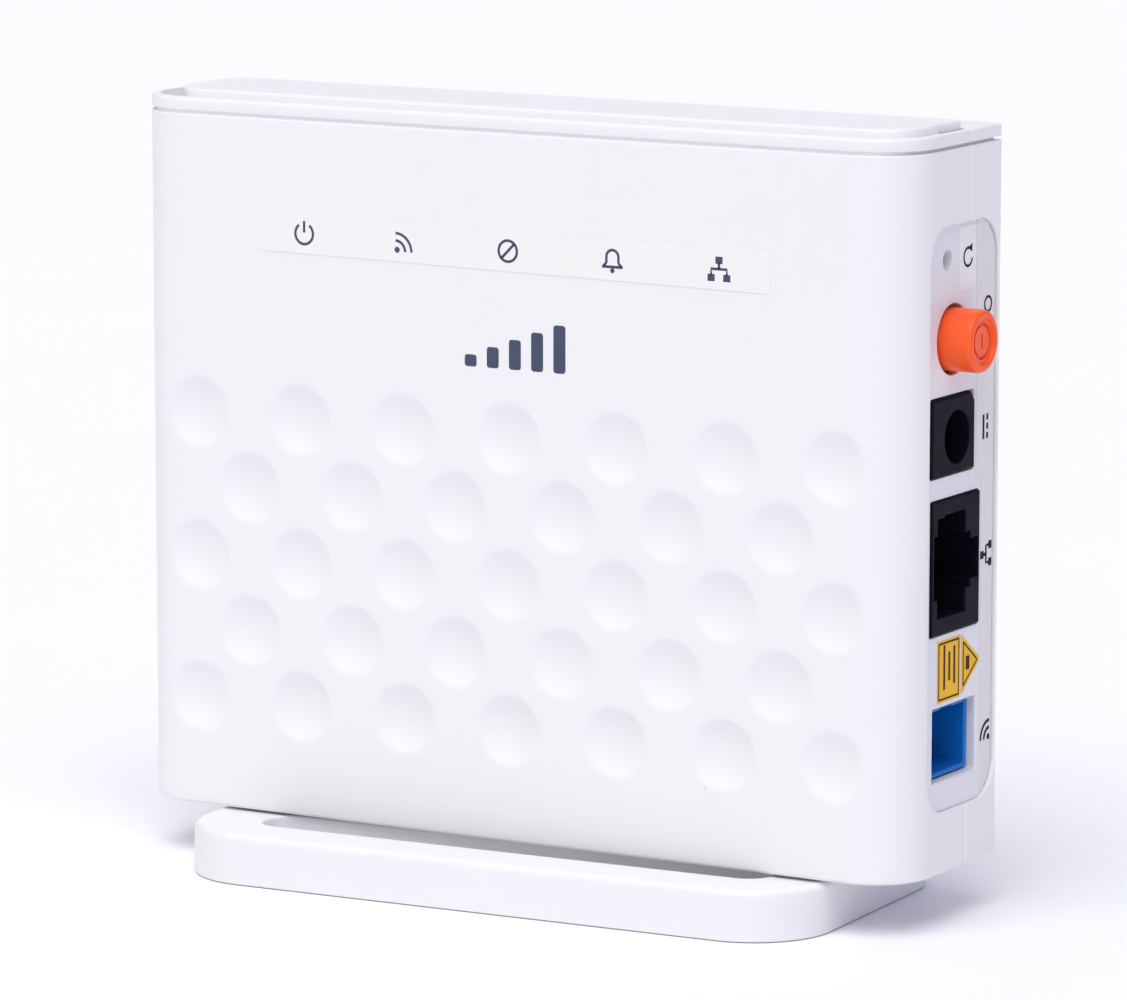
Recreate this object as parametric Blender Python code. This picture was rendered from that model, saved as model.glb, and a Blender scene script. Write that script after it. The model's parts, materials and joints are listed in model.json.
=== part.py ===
"""Optical network terminal: a slim upright box on a swivelling loop stand.

The box stands on its long edge. Its ports are in a shallow bay on the +X side,
its dimpled face looks along -Y, and the desk is the plane z = 0.
All sizes below are in millimetres; finish() turns them into metres.
"""

import math

import bmesh
import bpy
from mathutils import Matrix, Vector

MM = 0.001
GAP = 0.3                    # clearance between neighbouring pieces

# Housing
BODY_WIDTH = 104.7
BODY_DEPTH = 24.0
BODY_BOTTOM = 6.3
RIM_TOP = 91.9
WALL = 2.0
FRONT_RADIUS = 7.2
REAR_RADIUS = 0.4
PARTING_Y = 3.9              # plane where the two covers meet
GROOVE_Z = 90.2              # decorative groove around the housing
GROOVE_HALF = 0.24
GROOVE_DEPTH = 0.7
SIDE = BODY_WIDTH / 2
FRONT = -BODY_DEPTH / 2
REAR = BODY_DEPTH / 2
CAVITY_TOP = 88.8

# Raised platform on top of the front cover, with a moat at each end
PLATFORM_LEFT, PLATFORM_RIGHT = -47.6, 51.4
PLATFORM_HEIGHT = 1.05
PLATFORM_FRONT = -11.1
PLATFORM_RADIUS = 5.6
MOAT_LEFT, MOAT_RIGHT = -51.5, 51.7
MOAT_LEFT_FRONT, MOAT_RIGHT_FRONT = -10.2, -2.2
MOAT_DEPTH = 1.1

# Dimples on the front face
DIMPLE_RADIUS = 4.2
DIMPLE_DEPTH = 0.9
DIMPLE_PITCH = 14.4
DIMPLE_ROW_PITCH = 8.65
DIMPLE_TOP_Z = 54.3
DIMPLE_SHIFT = 0.5
DIMPLE_ROWS = (7, 6, 7, 6, 7)

# Port bay on the +X side
BAY_FRONT, BAY_REAR = -5.6, 11.5
BAY_BOTTOM, BAY_TOP = 13.5, 81.4
BAY_RADIUS = 4.5
BAY_FLOOR = 51.85            # x of the recessed floor
POCKET_FRONT, POCKET_REAR = -7.2, 9.9
POCKET_BOTTOM, POCKET_TOP = 11.8, 83.1
POCKET_SIDE = 51.35          # the covers' walls are thinner around the window
PANEL_BACK = 49.85
PANEL_STEP = 51.05           # flange that sits behind those walls

# Ports, as (y, z) places on the panel
RESET_Y, RESET_Z, RESET_HOLE = -0.6, 77.3, 1.25
BUTTON_Y, BUTTON_Z, BUTTON_HOLE, BUTTON_RADIUS = 1.0, 68.1, 4.1, 3.65
BUTTON_FACE, BUTTON_BACK = 55.85, 48.2
DC_LOW, DC_HIGH = (-4.5, 52.6), (6.2, 61.65)
DC_Y, DC_Z, DC_BORE, DC_PIN = 1.65, 56.8, 3.1, 1.0
LAN_LOW, LAN_HIGH = (-4.3, 34.3), (7.65, 49.85)
FIBRE_LOW, FIBRE_HIGH = (-3.1, 17.3), (7.3, 25.45)
FIBRE_FACE = 50.8
JACK_FACE = 52.1

# Main board, parallel to the front face; its parts stand towards +Y
BOARD_FACE = -4.8
BOARD_THICK = 1.6
BOARD_X = (-46.0, 48.5)
BOARD_Z = (15.6, 85.6)
PART_Y = BOARD_FACE + GAP
BOARD_HOLES = ((-41.0, 22.0), (-41.0, 78.0), (36.0, 78.6))
CASE_SCREWS = ((-40.0, 11.6), (40.0, 11.6))

# Loop stand, and the pivot under the housing
STAND_TURN = math.radians(3.0)
STAND_LEFT, STAND_RIGHT = -41.3, 41.8
STAND_WIDTH, STAND_HEIGHT = 44.6, 6.0
STAND_RADIUS = 10.0
SLOT_LEFT, SLOT_RIGHT, SLOT_OUTER, SLOT_INNER = -32.7, 34.4, 15.6, 9.5
SLOT_RADIUS = 3.0
SOCKET_RADIUS, SOCKET_FLOOR, RING_SEAT = 6.8, 1.9, 4.3
RING_RADIUS, RING_BORE = 8.5, 4.7
POST_FLANGE, POST_NECK = 6.3, 4.3

LED_X = (-27.5, -13.5, 0.5, 15.0, 29.5)
LED_Z = 80.6


def clear_scene():
    for obj in list(bpy.data.objects):
        bpy.data.objects.remove(obj)


# ---------------------------------------------------------------- outlines

def circle(u, v, radius, count=16):
    steps = [2 * math.pi * i / count for i in range(count)]
    return [(u + radius * math.cos(a), v + radius * math.sin(a)) for a in steps]


def rectangle(low, high):
    return [low, (high[0], low[1]), high, (low[0], high[1])]


def rounded(low, high, radius, steps=5):
    """Rectangle with round corners, counter-clockwise from its lower right."""
    centres = (
        (high[0] - radius, low[1] + radius, -90),
        (high[0] - radius, high[1] - radius, 0),
        (low[0] + radius, high[1] - radius, 90),
        (low[0] + radius, low[1] + radius, 180),
    )
    points = []
    for u, v, start in centres:
        for i in range(steps + 1):
            a = math.radians(start + 90 * i / steps)
            points.append((u + radius * math.cos(a), v + radius * math.sin(a)))
    return points


def cover_outline(side, inset, open_y, radius, steps):
    """Plan of one cover: straight open edge at open_y, two round corners at side * depth / 2."""
    half = SIDE - inset
    r = max(radius - inset, 0.1)
    centre_y = side * (REAR - inset - r)
    points = [(half, open_y)]
    for mirror in (1, -1):
        for i in range(steps + 1):
            a = math.radians(90 * i / steps if mirror > 0 else 90 - 90 * i / steps)
            x = mirror * (half - r + r * math.cos(a))
            points.append((x, centre_y + side * r * math.sin(a)))
    points.append((-half, open_y))
    return points


# ------------------------------------------------------------------ solids

def axis_point(axis, u, v, w):
    """Point from outline coordinates (u, v) and w along the axis."""
    return {"X": (w, u, v), "Y": (u, w, v), "Z": (u, v, w)}[axis]


def loft(rings):
    """Closed solid through rings of 3-D points that have equal counts."""
    bm = bmesh.new()
    rows = [[bm.verts.new(p) for p in ring] for ring in rings]
    for lower, upper in zip(rows, rows[1:]):
        for i in range(len(lower)):
            j = (i + 1) % len(lower)
            bm.faces.new((lower[i], lower[j], upper[j], upper[i]))
    bm.faces.new(rows[0][::-1])
    bm.faces.new(rows[-1])
    bmesh.ops.recalc_face_normals(bm, faces=bm.faces)
    return bm


def prism(axis, outline, low, high):
    return loft([[axis_point(axis, u, v, w) for u, v in outline] for w in (low, high)])


def box(low, high):
    return prism("Z", rectangle(low[:2], high[:2]), low[2], high[2])


def turned(axis, u, v, profile, count=16):
    """Solid of revolution from (w, radius) steps along the axis through (u, v)."""
    rings = []
    for w, radius in profile:
        rings.append([axis_point(axis, a, b, w) for a, b in circle(u, v, radius, count)])
    return loft(rings)


def tube(axis, u, v, low, high, outer, inner, count=16):
    """Ring-shaped solid."""
    profile = ((low, outer), (high, outer), (high, inner), (low, inner))
    bm = bmesh.new()
    rows = []
    for w, radius in profile:
        points = [axis_point(axis, a, b, w) for a, b in circle(u, v, radius, count)]
        rows.append([bm.verts.new(p) for p in points])
    for lower, upper in zip(rows, rows[1:] + rows[:1]):
        for i in range(count):
            j = (i + 1) % count
            bm.faces.new((lower[i], lower[j], upper[j], upper[i]))
    bmesh.ops.recalc_face_normals(bm, faces=bm.faces)
    return bm


def solid(name, bm):
    mesh = bpy.data.meshes.new(name)
    bm.to_mesh(mesh)
    bm.free()
    obj = bpy.data.objects.new(name, mesh)
    bpy.context.scene.collection.objects.link(obj)
    return obj


def combine(obj, tools, operation):
    """One exact Boolean between obj and all of the tools, which don't touch each other."""
    joined = bmesh.new()
    for tool in tools:
        piece = bpy.data.meshes.new("piece")
        tool.to_mesh(piece)
        tool.free()
        joined.from_mesh(piece)
        bpy.data.meshes.remove(piece)
    cutter = solid("cutter", joined)
    modifier = obj.modifiers.new("cut", "BOOLEAN")
    modifier.operation = operation
    modifier.object = cutter
    depsgraph = bpy.context.evaluated_depsgraph_get()
    result = bpy.data.meshes.new_from_object(obj.evaluated_get(depsgraph))
    obj.modifiers.clear()
    obj.data = result
    bpy.data.objects.remove(cutter)


def cut(obj, *tools):
    combine(obj, tools, "DIFFERENCE")


def add(obj, *tools):
    combine(obj, tools, "UNION")


def material(name, colour, roughness, metallic):
    mat = bpy.data.materials.new(name)
    mat.use_nodes = True
    shader = mat.node_tree.nodes["Principled BSDF"]
    shader.inputs["Base Color"].default_value = (*colour, 1.0)
    shader.inputs["Roughness"].default_value = roughness
    shader.inputs["Metallic"].default_value = metallic
    return mat


def finish(obj, colour, roughness=0.4, metallic=0.0, origin=(0, 0, 0), parent=None):
    """Turn millimetres into metres, give the piece its origin, its parent and its material."""
    obj.data.name = obj.name
    obj.data.transform(Matrix.Scale(MM, 4) @ Matrix.Translation(-Vector(origin)))
    obj.location = Vector(origin) * MM
    obj.parent = parent
    obj.data.materials.clear()
    obj.data.materials.append(material(obj.name, colour, roughness, metallic))
    obj.data.shade_smooth()
    obj.data.set_sharp_from_angle(angle=math.radians(35))
    return obj


WHITE = (0.86, 0.86, 0.88)
BLACK = (0.02, 0.02, 0.025)
STEEL = (0.62, 0.62, 0.64)
PAPER = (0.80, 0.79, 0.77)
CHIP = (0.03, 0.03, 0.035)


# ----------------------------------------------------------------- housing

COVER_PROFILE = (
    # (height, inset) from the bottom edge up to the rim
    (BODY_BOTTOM, 0.45),
    (BODY_BOTTOM + 0.12, 0.12),
    (BODY_BOTTOM + 0.45, 0.0),
    (GROOVE_Z - GROOVE_HALF - 0.25, 0.0),
    (GROOVE_Z - GROOVE_HALF, 0.25),
    (GROOVE_Z - GROOVE_HALF + 0.05, GROOVE_DEPTH),
    (GROOVE_Z + GROOVE_HALF - 0.05, GROOVE_DEPTH),
    (GROOVE_Z + GROOVE_HALF, 0.25),
    (GROOVE_Z + GROOVE_HALF + 0.25, 0.0),
    (RIM_TOP - 0.45, 0.0),
    (RIM_TOP - 0.12, 0.12),
    (RIM_TOP, 0.45),
)


def cover_block(side, open_y, radius, steps):
    rings = []
    for z, inset in COVER_PROFILE:
        outline = cover_outline(side, inset, open_y, radius, steps)
        rings.append([(x, y, z) for x, y in outline])
    return loft(rings)


def bay_window(x_from):
    """Opening in the side walls that shows the port panel."""
    outline = rounded((BAY_FRONT, BAY_BOTTOM), (BAY_REAR, BAY_TOP), BAY_RADIUS)
    return prism("X", outline, x_from, SIDE + 5)


def bay_pocket():
    """Room behind the window for the port panel's flange."""
    outline = rectangle((POCKET_FRONT, POCKET_BOTTOM), (POCKET_REAR, POCKET_TOP))
    return prism("X", outline, SIDE - 4, POCKET_SIDE)


def clipped(outline, most):
    """Outline whose first coordinates stop at a limit."""
    points = []
    for u, v in outline:
        point = (min(u, most), v)
        if point not in points:
            points.append(point)
    return points


def bay_throat():
    """Join of the pocket and the window, where the panel's face comes through."""
    outline = rounded((BAY_FRONT, BAY_BOTTOM), (BAY_REAR, BAY_TOP), BAY_RADIUS)
    return prism("X", clipped(outline, POCKET_REAR - 0.01), POCKET_SIDE - 0.5, BAY_FLOOR + 0.3)


def dimple_centres():
    for row, count in enumerate(DIMPLE_ROWS):
        z = DIMPLE_TOP_Z - row * DIMPLE_ROW_PITCH
        for i in range(count):
            yield (i - (count - 1) / 2) * DIMPLE_PITCH + DIMPLE_SHIFT, z


def dimple(x, z):
    """Shallow spherical cap that is pressed into the front face."""
    sphere = (DIMPLE_RADIUS ** 2 + DIMPLE_DEPTH ** 2) / (2 * DIMPLE_DEPTH)
    profile = [(FRONT - 0.5, DIMPLE_RADIUS)]
    for part in (1.0, 0.55, 0.08):
        r = part * DIMPLE_RADIUS
        depth = math.sqrt(sphere ** 2 - r ** 2) - (sphere - DIMPLE_DEPTH)
        profile.append((FRONT + depth, r))
    return turned("Y", x, z, profile, 12)


def platform_block():
    """Raised plate on the rim, with round front corners; it runs past the parting plane."""
    rings = []
    top = RIM_TOP + PLATFORM_HEIGHT
    for z, inset in ((RIM_TOP - 1.4, 0.0), (top - 0.3, 0.0), (top, 0.35)):
        low = (PLATFORM_LEFT + inset, PLATFORM_FRONT + inset)
        high = (PLATFORM_RIGHT - inset, PARTING_Y + 14)
        rings.append([(x, y, z) for x, y in rounded(low, high, PLATFORM_RADIUS - inset)])
    return loft(rings)


def make_front_cover():
    obj = solid("front_cover", cover_block(-1, PARTING_Y + 3, FRONT_RADIUS, 6))
    left_moat = rounded((MOAT_LEFT, MOAT_LEFT_FRONT), (PLATFORM_LEFT + 8, PARTING_Y + 9), PLATFORM_RADIUS)
    right_moat = rectangle((PLATFORM_RIGHT - 1, MOAT_RIGHT_FRONT), (MOAT_RIGHT, PARTING_Y + 6))
    for outline in (left_moat, right_moat):
        cut(obj, prism("Z", outline, RIM_TOP - MOAT_DEPTH, RIM_TOP + 1))
    add(obj, platform_block())
    inner = rounded((-SIDE + WALL, FRONT + WALL), (SIDE - WALL, 20), FRONT_RADIUS - WALL)
    cut(obj, prism("Z", inner, BODY_BOTTOM + WALL, CAVITY_TOP))
    cut(obj, bay_pocket())
    cut(obj, bay_window(BAY_FLOOR))
    cut(obj, bay_throat())
    bosses = []
    for x, z in BOARD_HOLES:
        tip = BOARD_FACE - BOARD_THICK - GAP
        bosses.append(turned("Y", x, z, ((FRONT + WALL - 0.5, 2.6), (tip, 2.4)), 10))
    for x, z in CASE_SCREWS:
        bosses.append(turned("Y", x, z, ((FRONT + WALL - 0.5, 2.9), (PARTING_Y + 1, 2.7)), 10))
    add(obj, *bosses)
    pilots = [turned("Y", x, z, ((-9.6, 1.3), (0, 1.3)), 10) for x, z in BOARD_HOLES]
    pilots += [turned("Y", x, z, ((-7.5, 1.55), (6, 1.55)), 10) for x, z in CASE_SCREWS]
    pilots.append(turned("Z", 0, 0, ((BODY_BOTTOM - 1, 1.7), (BODY_BOTTOM + WALL + 1, 1.7)), 12))
    cut(obj, *pilots)
    cut(obj, box((-60, PARTING_Y - GAP / 2, 0), (60, 30, 100)))
    cut(obj, *[dimple(x, z) for x, z in dimple_centres()])
    return finish(obj, WHITE, 0.35)


def vent_slots():
    """Two bands of upright slots through the rear wall."""
    slots = []
    for low, high in ((19.0, 31.0), (66.0, 80.0)):
        for i in range(13):
            x = (i - 6) * 4.6 - 2.0
            slot = rounded((x - 0.8, low), (x + 0.8, high), 0.79, 2)
            slots.append(prism("Y", slot, REAR - WALL - 1, REAR + 1))
    return slots


def hooks():
    """Two snap tongues that reach under the top wall of the front cover."""
    y = PARTING_Y
    outline = [
        (y - 3.0, 87.2), (y + 2.0, 87.2), (y + 2.0, 89.4),
        (y + 0.5, 89.4), (y + 0.5, 88.3), (y - 3.0, 88.3),
    ]
    return [prism("X", outline, x - 4, x + 4) for x in (-24.0, 24.0)]


def make_rear_cover():
    obj = solid("rear_cover", cover_block(1, PARTING_Y - 3, REAR_RADIUS, 3))
    cut(obj, box((-SIDE + WALL, -3, BODY_BOTTOM + WALL), (SIDE - WALL, REAR - WALL, CAVITY_TOP)))
    cut(obj, bay_pocket())
    cut(obj, bay_window(BAY_FLOOR))
    cut(obj, bay_throat())
    boss = ((PARTING_Y - 1, 4.0), (REAR - WALL + 0.5, 4.0))
    add(obj, *[turned("Y", x, z, boss, 12) for x, z in CASE_SCREWS])
    cut(obj, box((-60, -20, 0), (60, PARTING_Y + GAP / 2, 100)))
    cut(obj, *[turned("Y", x, z, ((7.2, 2.9), (REAR + 1, 2.9)), 12) for x, z in CASE_SCREWS])
    cut(obj, *[turned("Y", x, z, ((3, 1.6), (8, 1.6)), 10) for x, z in CASE_SCREWS])
    add(obj, *hooks())
    cut(obj, *vent_slots())
    for x in (-36.0, 36.0):
        cut(obj, turned("Y", x, 50.0, ((REAR - WALL - 1, 3.6), (REAR + 1, 3.6)), 14))
        cut(obj, prism("Y", rounded((x - 1.8, 49.0), (x + 1.8, 58.0), 1.7, 3), REAR - WALL - 1, REAR + 1))
    return finish(obj, WHITE, 0.38)


def make_port_panel():
    flange = rectangle((POCKET_FRONT + GAP, POCKET_BOTTOM + GAP), (POCKET_REAR - GAP, POCKET_TOP - GAP))
    obj = solid("port_panel", prism("X", flange, PANEL_BACK, PANEL_STEP))
    face = rounded((BAY_FRONT + GAP, BAY_BOTTOM + GAP), (BAY_REAR - GAP, BAY_TOP - GAP), BAY_RADIUS - GAP)
    add(obj, prism("X", clipped(face, POCKET_REAR - GAP - 0.02), PANEL_STEP - 0.5, BAY_FLOOR))
    low, high = PANEL_BACK - 1, BAY_FLOOR + 1
    windows = [
        turned("X", RESET_Y, RESET_Z, ((low, RESET_HOLE), (high, RESET_HOLE)), 14),
        turned("X", BUTTON_Y, BUTTON_Z, ((low, BUTTON_HOLE), (high, BUTTON_HOLE)), 20),
        prism("X", rectangle(*grown(DC_LOW, DC_HIGH, GAP)), low, high),
        prism("X", rectangle(*grown(LAN_LOW, LAN_HIGH, GAP)), low, high),
        prism("X", rectangle(*grown(FIBRE_LOW, FIBRE_HIGH, GAP)), low, high),
    ]
    cut(obj, *windows)
    return finish(obj, WHITE, 0.4)


def grown(low, high, by):
    return (low[0] - by, low[1] - by), (high[0] + by, high[1] + by)


# ------------------------------------------------------------------ labels

LABEL_LIFT, LABEL_THICK = 0.06, 0.16
STRIP_WIDE, STRIP_NARROW, STRIP_NOTCH = 6.5, 8.12, 51.2    # edge above and below the notch


def make_labels():
    tilt = math.radians(-0.6)
    corners = []
    for x, z in rectangle((-34.6, 74.0), (34.6, 78.7)):
        dx, dz = x, z - 76.35
        corners.append((0.5 + dx * math.cos(tilt) - dz * math.sin(tilt),
                        76.35 + dx * math.sin(tilt) + dz * math.cos(tilt)))
    face = FRONT - LABEL_LIFT
    finish(solid("indicator_label", prism("Y", corners, face - LABEL_THICK, face)), PAPER, 0.6)

    floor = BAY_FLOOR + LABEL_LIFT
    strip = []
    for z, angles in ((BAY_BOTTOM + BAY_RADIUS, (-70, -45, -20, 0)), (BAY_TOP - BAY_RADIUS, (0, 30, 60, 90))):
        for a in map(math.radians, angles):
            r = BAY_RADIUS - GAP - 0.05
            strip.append((BAY_REAR - BAY_RADIUS + r * math.cos(a), z + r * math.sin(a)))
    strip.append((STRIP_WIDE, BAY_TOP - GAP - 0.05))
    strip += [(STRIP_WIDE + 0.4, STRIP_NOTCH), (STRIP_NARROW, STRIP_NOTCH)]
    plain = (
        ("port_label", strip, (0.60, 0.59, 0.58)),
        ("reset_label", rectangle((2.3, 73.5), (6.3, 80.9)), PAPER),
        ("amber_label_square", rectangle((-2.4, 26.3), (3.3, 33.5)), (0.78, 0.50, 0.08)),
        ("amber_label_triangle", [(3.6, 26.4), (8.05, 29.6), (8.05, 30.2), (3.6, 33.5)], (0.78, 0.50, 0.08)),
    )
    for name, outline, colour in plain:
        finish(solid(name, prism("X", outline, floor, floor + LABEL_THICK)), colour, 0.6)


# ------------------------------------------------------------------- ports

def make_dc_jack():
    low_y, low_z = DC_LOW
    high_y, high_z = DC_HIGH
    outline = [DC_LOW, (high_y, low_z), (high_y, high_z - 1.0), (high_y - 1.0, high_z), (low_y, high_z)]
    obj = solid("dc_jack_body", prism("X", outline, 38.0, JACK_FACE))
    cut(obj, turned("X", DC_Y, DC_Z, ((41.5, DC_BORE), (JACK_FACE + 1, DC_BORE)), 20))
    cut(obj, turned("X", DC_Y, DC_Z, ((37.0, 1.5), (42.0, 1.5)), 12))
    finish(obj, BLACK, 0.35)
    pin = turned("X", DC_Y, DC_Z, ((36.6, 0.7), (41.9, 0.7), (41.9, DC_PIN), (48.9, DC_PIN), (49.3, 0.6)), 14)
    finish(solid("dc_jack_pin", pin), STEEL, 0.25, 1.0)
    base = DC_Y - 2.3
    spring = [(42.2, base), (49.5, base), (49.5, base + 0.3), (46.0, base + 0.6), (42.2, base + 0.3)]
    leaf = prism("Z", spring, DC_Z - 0.8, DC_Z + 0.8)
    finish(solid("dc_jack_contact", leaf), STEEL, 0.3, 1.0)


def lan_cavity():
    """Stepped mouth of the jack: contact side at -Y, latch side at +Y."""
    top = LAN_HIGH[1]
    y0 = LAN_LOW[0]
    return [
        (y0 + 0.55, top - 4.0), (y0 + 0.55, top - 11.4), (y0 + 1.4, top - 11.4), (y0 + 1.4, top - 13.6),
        (y0 + 8.3, top - 13.6), (y0 + 8.3, top - 10.9), (y0 + 9.6, top - 10.9), (y0 + 9.6, top - 10.0),
        (y0 + 11.55, top - 10.0), (y0 + 11.55, top - 5.4), (y0 + 9.6, top - 5.4), (y0 + 9.6, top - 4.5),
        (y0 + 8.3, top - 4.5), (y0 + 8.3, top - 1.8), (y0 + 1.4, top - 1.8), (y0 + 1.4, top - 4.0),
    ]


def make_lan_jack():
    obj = solid("lan_jack_body", prism("X", rectangle(LAN_LOW, LAN_HIGH), 36.5, JACK_FACE))
    cut(obj, prism("X", lan_cavity(), 38.5, JACK_FACE + 1))
    finish(obj, BLACK, 0.35)
    middle = LAN_HIGH[1] - 7.7
    comb = solid("lan_contact_comb", box((38.9, -2.5, middle - 3.4), (40.1, 3.2, middle + 3.4)))
    fingers = []
    for i in range(8):
        z = middle + (i - 3.5) * 0.88
        wire = [(39.5, 2.2), (49.2, -2.75), (49.6, -2.75), (49.6, -2.4), (39.5, 2.7)]
        fingers.append(prism("Z", wire, z - 0.16, z + 0.16))
    add(comb, *fingers)
    finish(comb, (0.75, 0.60, 0.25), 0.3, 1.0)


def make_fibre_adapter():
    obj = solid("fibre_adapter", prism("X", rectangle(FIBRE_LOW, FIBRE_HIGH), 31.0, FIBRE_FACE))
    low, high = grown(FIBRE_LOW, FIBRE_HIGH, -0.5)
    cut(obj, prism("X", rectangle(low, high), 36.0, FIBRE_FACE + 1))
    middle_y = (FIBRE_LOW[0] + FIBRE_HIGH[0]) / 2
    middle_z = (FIBRE_LOW[1] + FIBRE_HIGH[1]) / 2
    cut(obj, turned("X", middle_y, middle_z, ((30.0, 2.2), (37.0, 2.2)), 14))
    finish(obj, (0.01, 0.14, 0.42), 0.35)
    sleeve = tube("X", middle_y, middle_z, 33.0, 43.5, 1.6, 1.25, 14)
    finish(solid("alignment_sleeve", sleeve), (0.85, 0.85, 0.83), 0.3)
    steps = ((25.0, 0.7), (27.0, 1.7), (32.5, 1.8), (32.7, 0.95), (38.0, 0.95))
    plug = turned("X", middle_y, middle_z, steps, 12)
    finish(solid("inner_fibre_plug", plug), (0.05, 0.35, 0.20), 0.4)


def make_power_button():
    cap = turned("X", BUTTON_Y, BUTTON_Z, (
        (BUTTON_BACK, BUTTON_RADIUS), (BUTTON_FACE - 0.5, BUTTON_RADIUS),
        (BUTTON_FACE - 0.1, BUTTON_RADIUS - 0.2),
        (BUTTON_FACE, BUTTON_RADIUS - 0.6), (BUTTON_FACE, 2.7), (BUTTON_FACE - 0.45, 2.5)), 24)
    obj = solid("power_button_cap", cap)
    socket = rectangle((BUTTON_Y - 1.8, BUTTON_Z - 1.8), (BUTTON_Y + 1.8, BUTTON_Z + 1.8))
    cut(obj, prism("X", socket, BUTTON_BACK - 1, 53.2))
    axis = (BUTTON_BACK, BUTTON_Y, BUTTON_Z)
    finish(obj, (0.90, 0.13, 0.03), 0.35, origin=axis)

    square = rectangle((BUTTON_Y - 1.5, BUTTON_Z - 1.5), (BUTTON_Y + 1.5, BUTTON_Z + 1.5))
    plunger = solid("switch_plunger", prism("X", square, 39.5, 52.9))
    finish(plunger, (0.75, 0.75, 0.72), 0.5, origin=axis)

    obj = solid("power_switch_body", box((34.0, PART_Y, 63.6), (44.6, 4.1, 72.0)))
    channel = rectangle((BUTTON_Y - 1.8, BUTTON_Z - 1.8), (BUTTON_Y + 1.8, BUTTON_Z + 1.8))
    cut(obj, prism("X", channel, 35.8, 46.0))
    finish(obj, CHIP, 0.5)


def make_reset():
    obj = solid("reset_switch_body", box((41.6, PART_Y, 74.3), (46.6, 2.6, 80.3)))
    cut(obj, turned("X", RESET_Y, RESET_Z, ((43.6, 1.25), (48, 1.25)), 12))
    finish(obj, CHIP, 0.5)
    stem = turned("X", RESET_Y, RESET_Z, ((44.2, 0.95), (50.35, 0.95), (50.6, 0.7)), 12)
    finish(solid("reset_plunger", stem), (0.62, 0.62, 0.64), 0.5, origin=(44.2, RESET_Y, RESET_Z))


# ------------------------------------------------------------------- board

def make_board():
    back = BOARD_FACE - BOARD_THICK
    obj = solid("main_board", box((BOARD_X[0], back, BOARD_Z[0]), (BOARD_X[1], BOARD_FACE, BOARD_Z[1])))
    cut(obj, *[turned("Y", x, z, ((back - 1, 1.5), (BOARD_FACE + 1, 1.5)), 12) for x, z in BOARD_HOLES])
    finish(obj, (0.02, 0.20, 0.07), 0.45)
    for i, (x, z) in enumerate(BOARD_HOLES, 1):
        profile = ((-9.2, 0.8), (PART_Y, 1.0), (PART_Y, 2.2), (PART_Y + 0.9, 2.2), (PART_Y + 1.5, 1.4))
        finish(solid(f"board_screw_{i}", turned("Y", x, z, profile, 12)), STEEL, 0.3, 1.0)
    for i, (x, z) in enumerate(CASE_SCREWS, 1):
        profile = ((-6.8, 0.9), (7.5, 1.2), (7.5, 2.5), (8.4, 2.5), (9.1, 1.7))
        finish(solid(f"case_screw_{i}", turned("Y", x, z, profile, 12)), STEEL, 0.3, 1.0)


def make_heat_sink():
    """Finned block over the main chip; its outline is a comb seen along Z."""
    left, right, base, tip, count = -14.0, 8.0, 0.2, 5.4, 7
    pitch = (right - left) / (count - 0.5)
    outline = [(right, base - 1.2), (left, base - 1.2)]
    for i in range(count):
        x = left + i * pitch
        outline += [(x, tip), (x + pitch / 2, tip)]
        if i < count - 1:
            outline += [(x + pitch / 2, base), (x + pitch, base)]
    finish(solid("heat_sink", prism("Z", outline, 36.0, 56.0)), (0.55, 0.56, 0.58), 0.4, 1.0)


def make_components():
    chips = (
        ("main_chip", (-11.0, 38.0), (5.0, 54.0), 1.1),
        ("memory_chip", (-30.0, 44.0), (-20.0, 56.0), 1.0),
        ("flash_chip", (-30.0, 34.0), (-25.0, 40.0), 1.6),
        ("lan_transformer", (21.0, 36.0), (33.5, 47.5), 5.0),
        ("dc_inductor", (22.0, 64.0), (30.5, 72.5), 4.0),
        ("clock_crystal", (12.0, 60.0), (16.7, 63.2), 1.0),
        ("shield_can", (-4.0, 17.0), (9.5, 31.0), 2.2),
    )
    colours = {"dc_inductor": (0.10, 0.10, 0.11), "clock_crystal": STEEL, "shield_can": STEEL}
    for name, low, high, height in chips:
        obj = solid(name, box((low[0], PART_Y, low[1]), (high[0], PART_Y + height, high[1])))
        metal = 1.0 if colours.get(name) == STEEL else 0.0
        finish(obj, colours.get(name, CHIP), 0.45, metal)
    pad = box((-10.5, PART_Y + 1.4, 38.5), (4.5, -1.3, 53.5))
    finish(solid("thermal_pad", pad), (0.45, 0.55, 0.62), 0.8)
    for i, x in enumerate((20.5, 30.0), 1):
        profile = ((PART_Y, 3.0), (PART_Y + 0.8, 3.15), (PART_Y + 7.6, 3.15), (PART_Y + 8.0, 2.7))
        finish(solid(f"capacitor_{i}", turned("Y", x, 56.0, profile, 14)), (0.25, 0.27, 0.32), 0.3)
    make_heat_sink()


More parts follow.
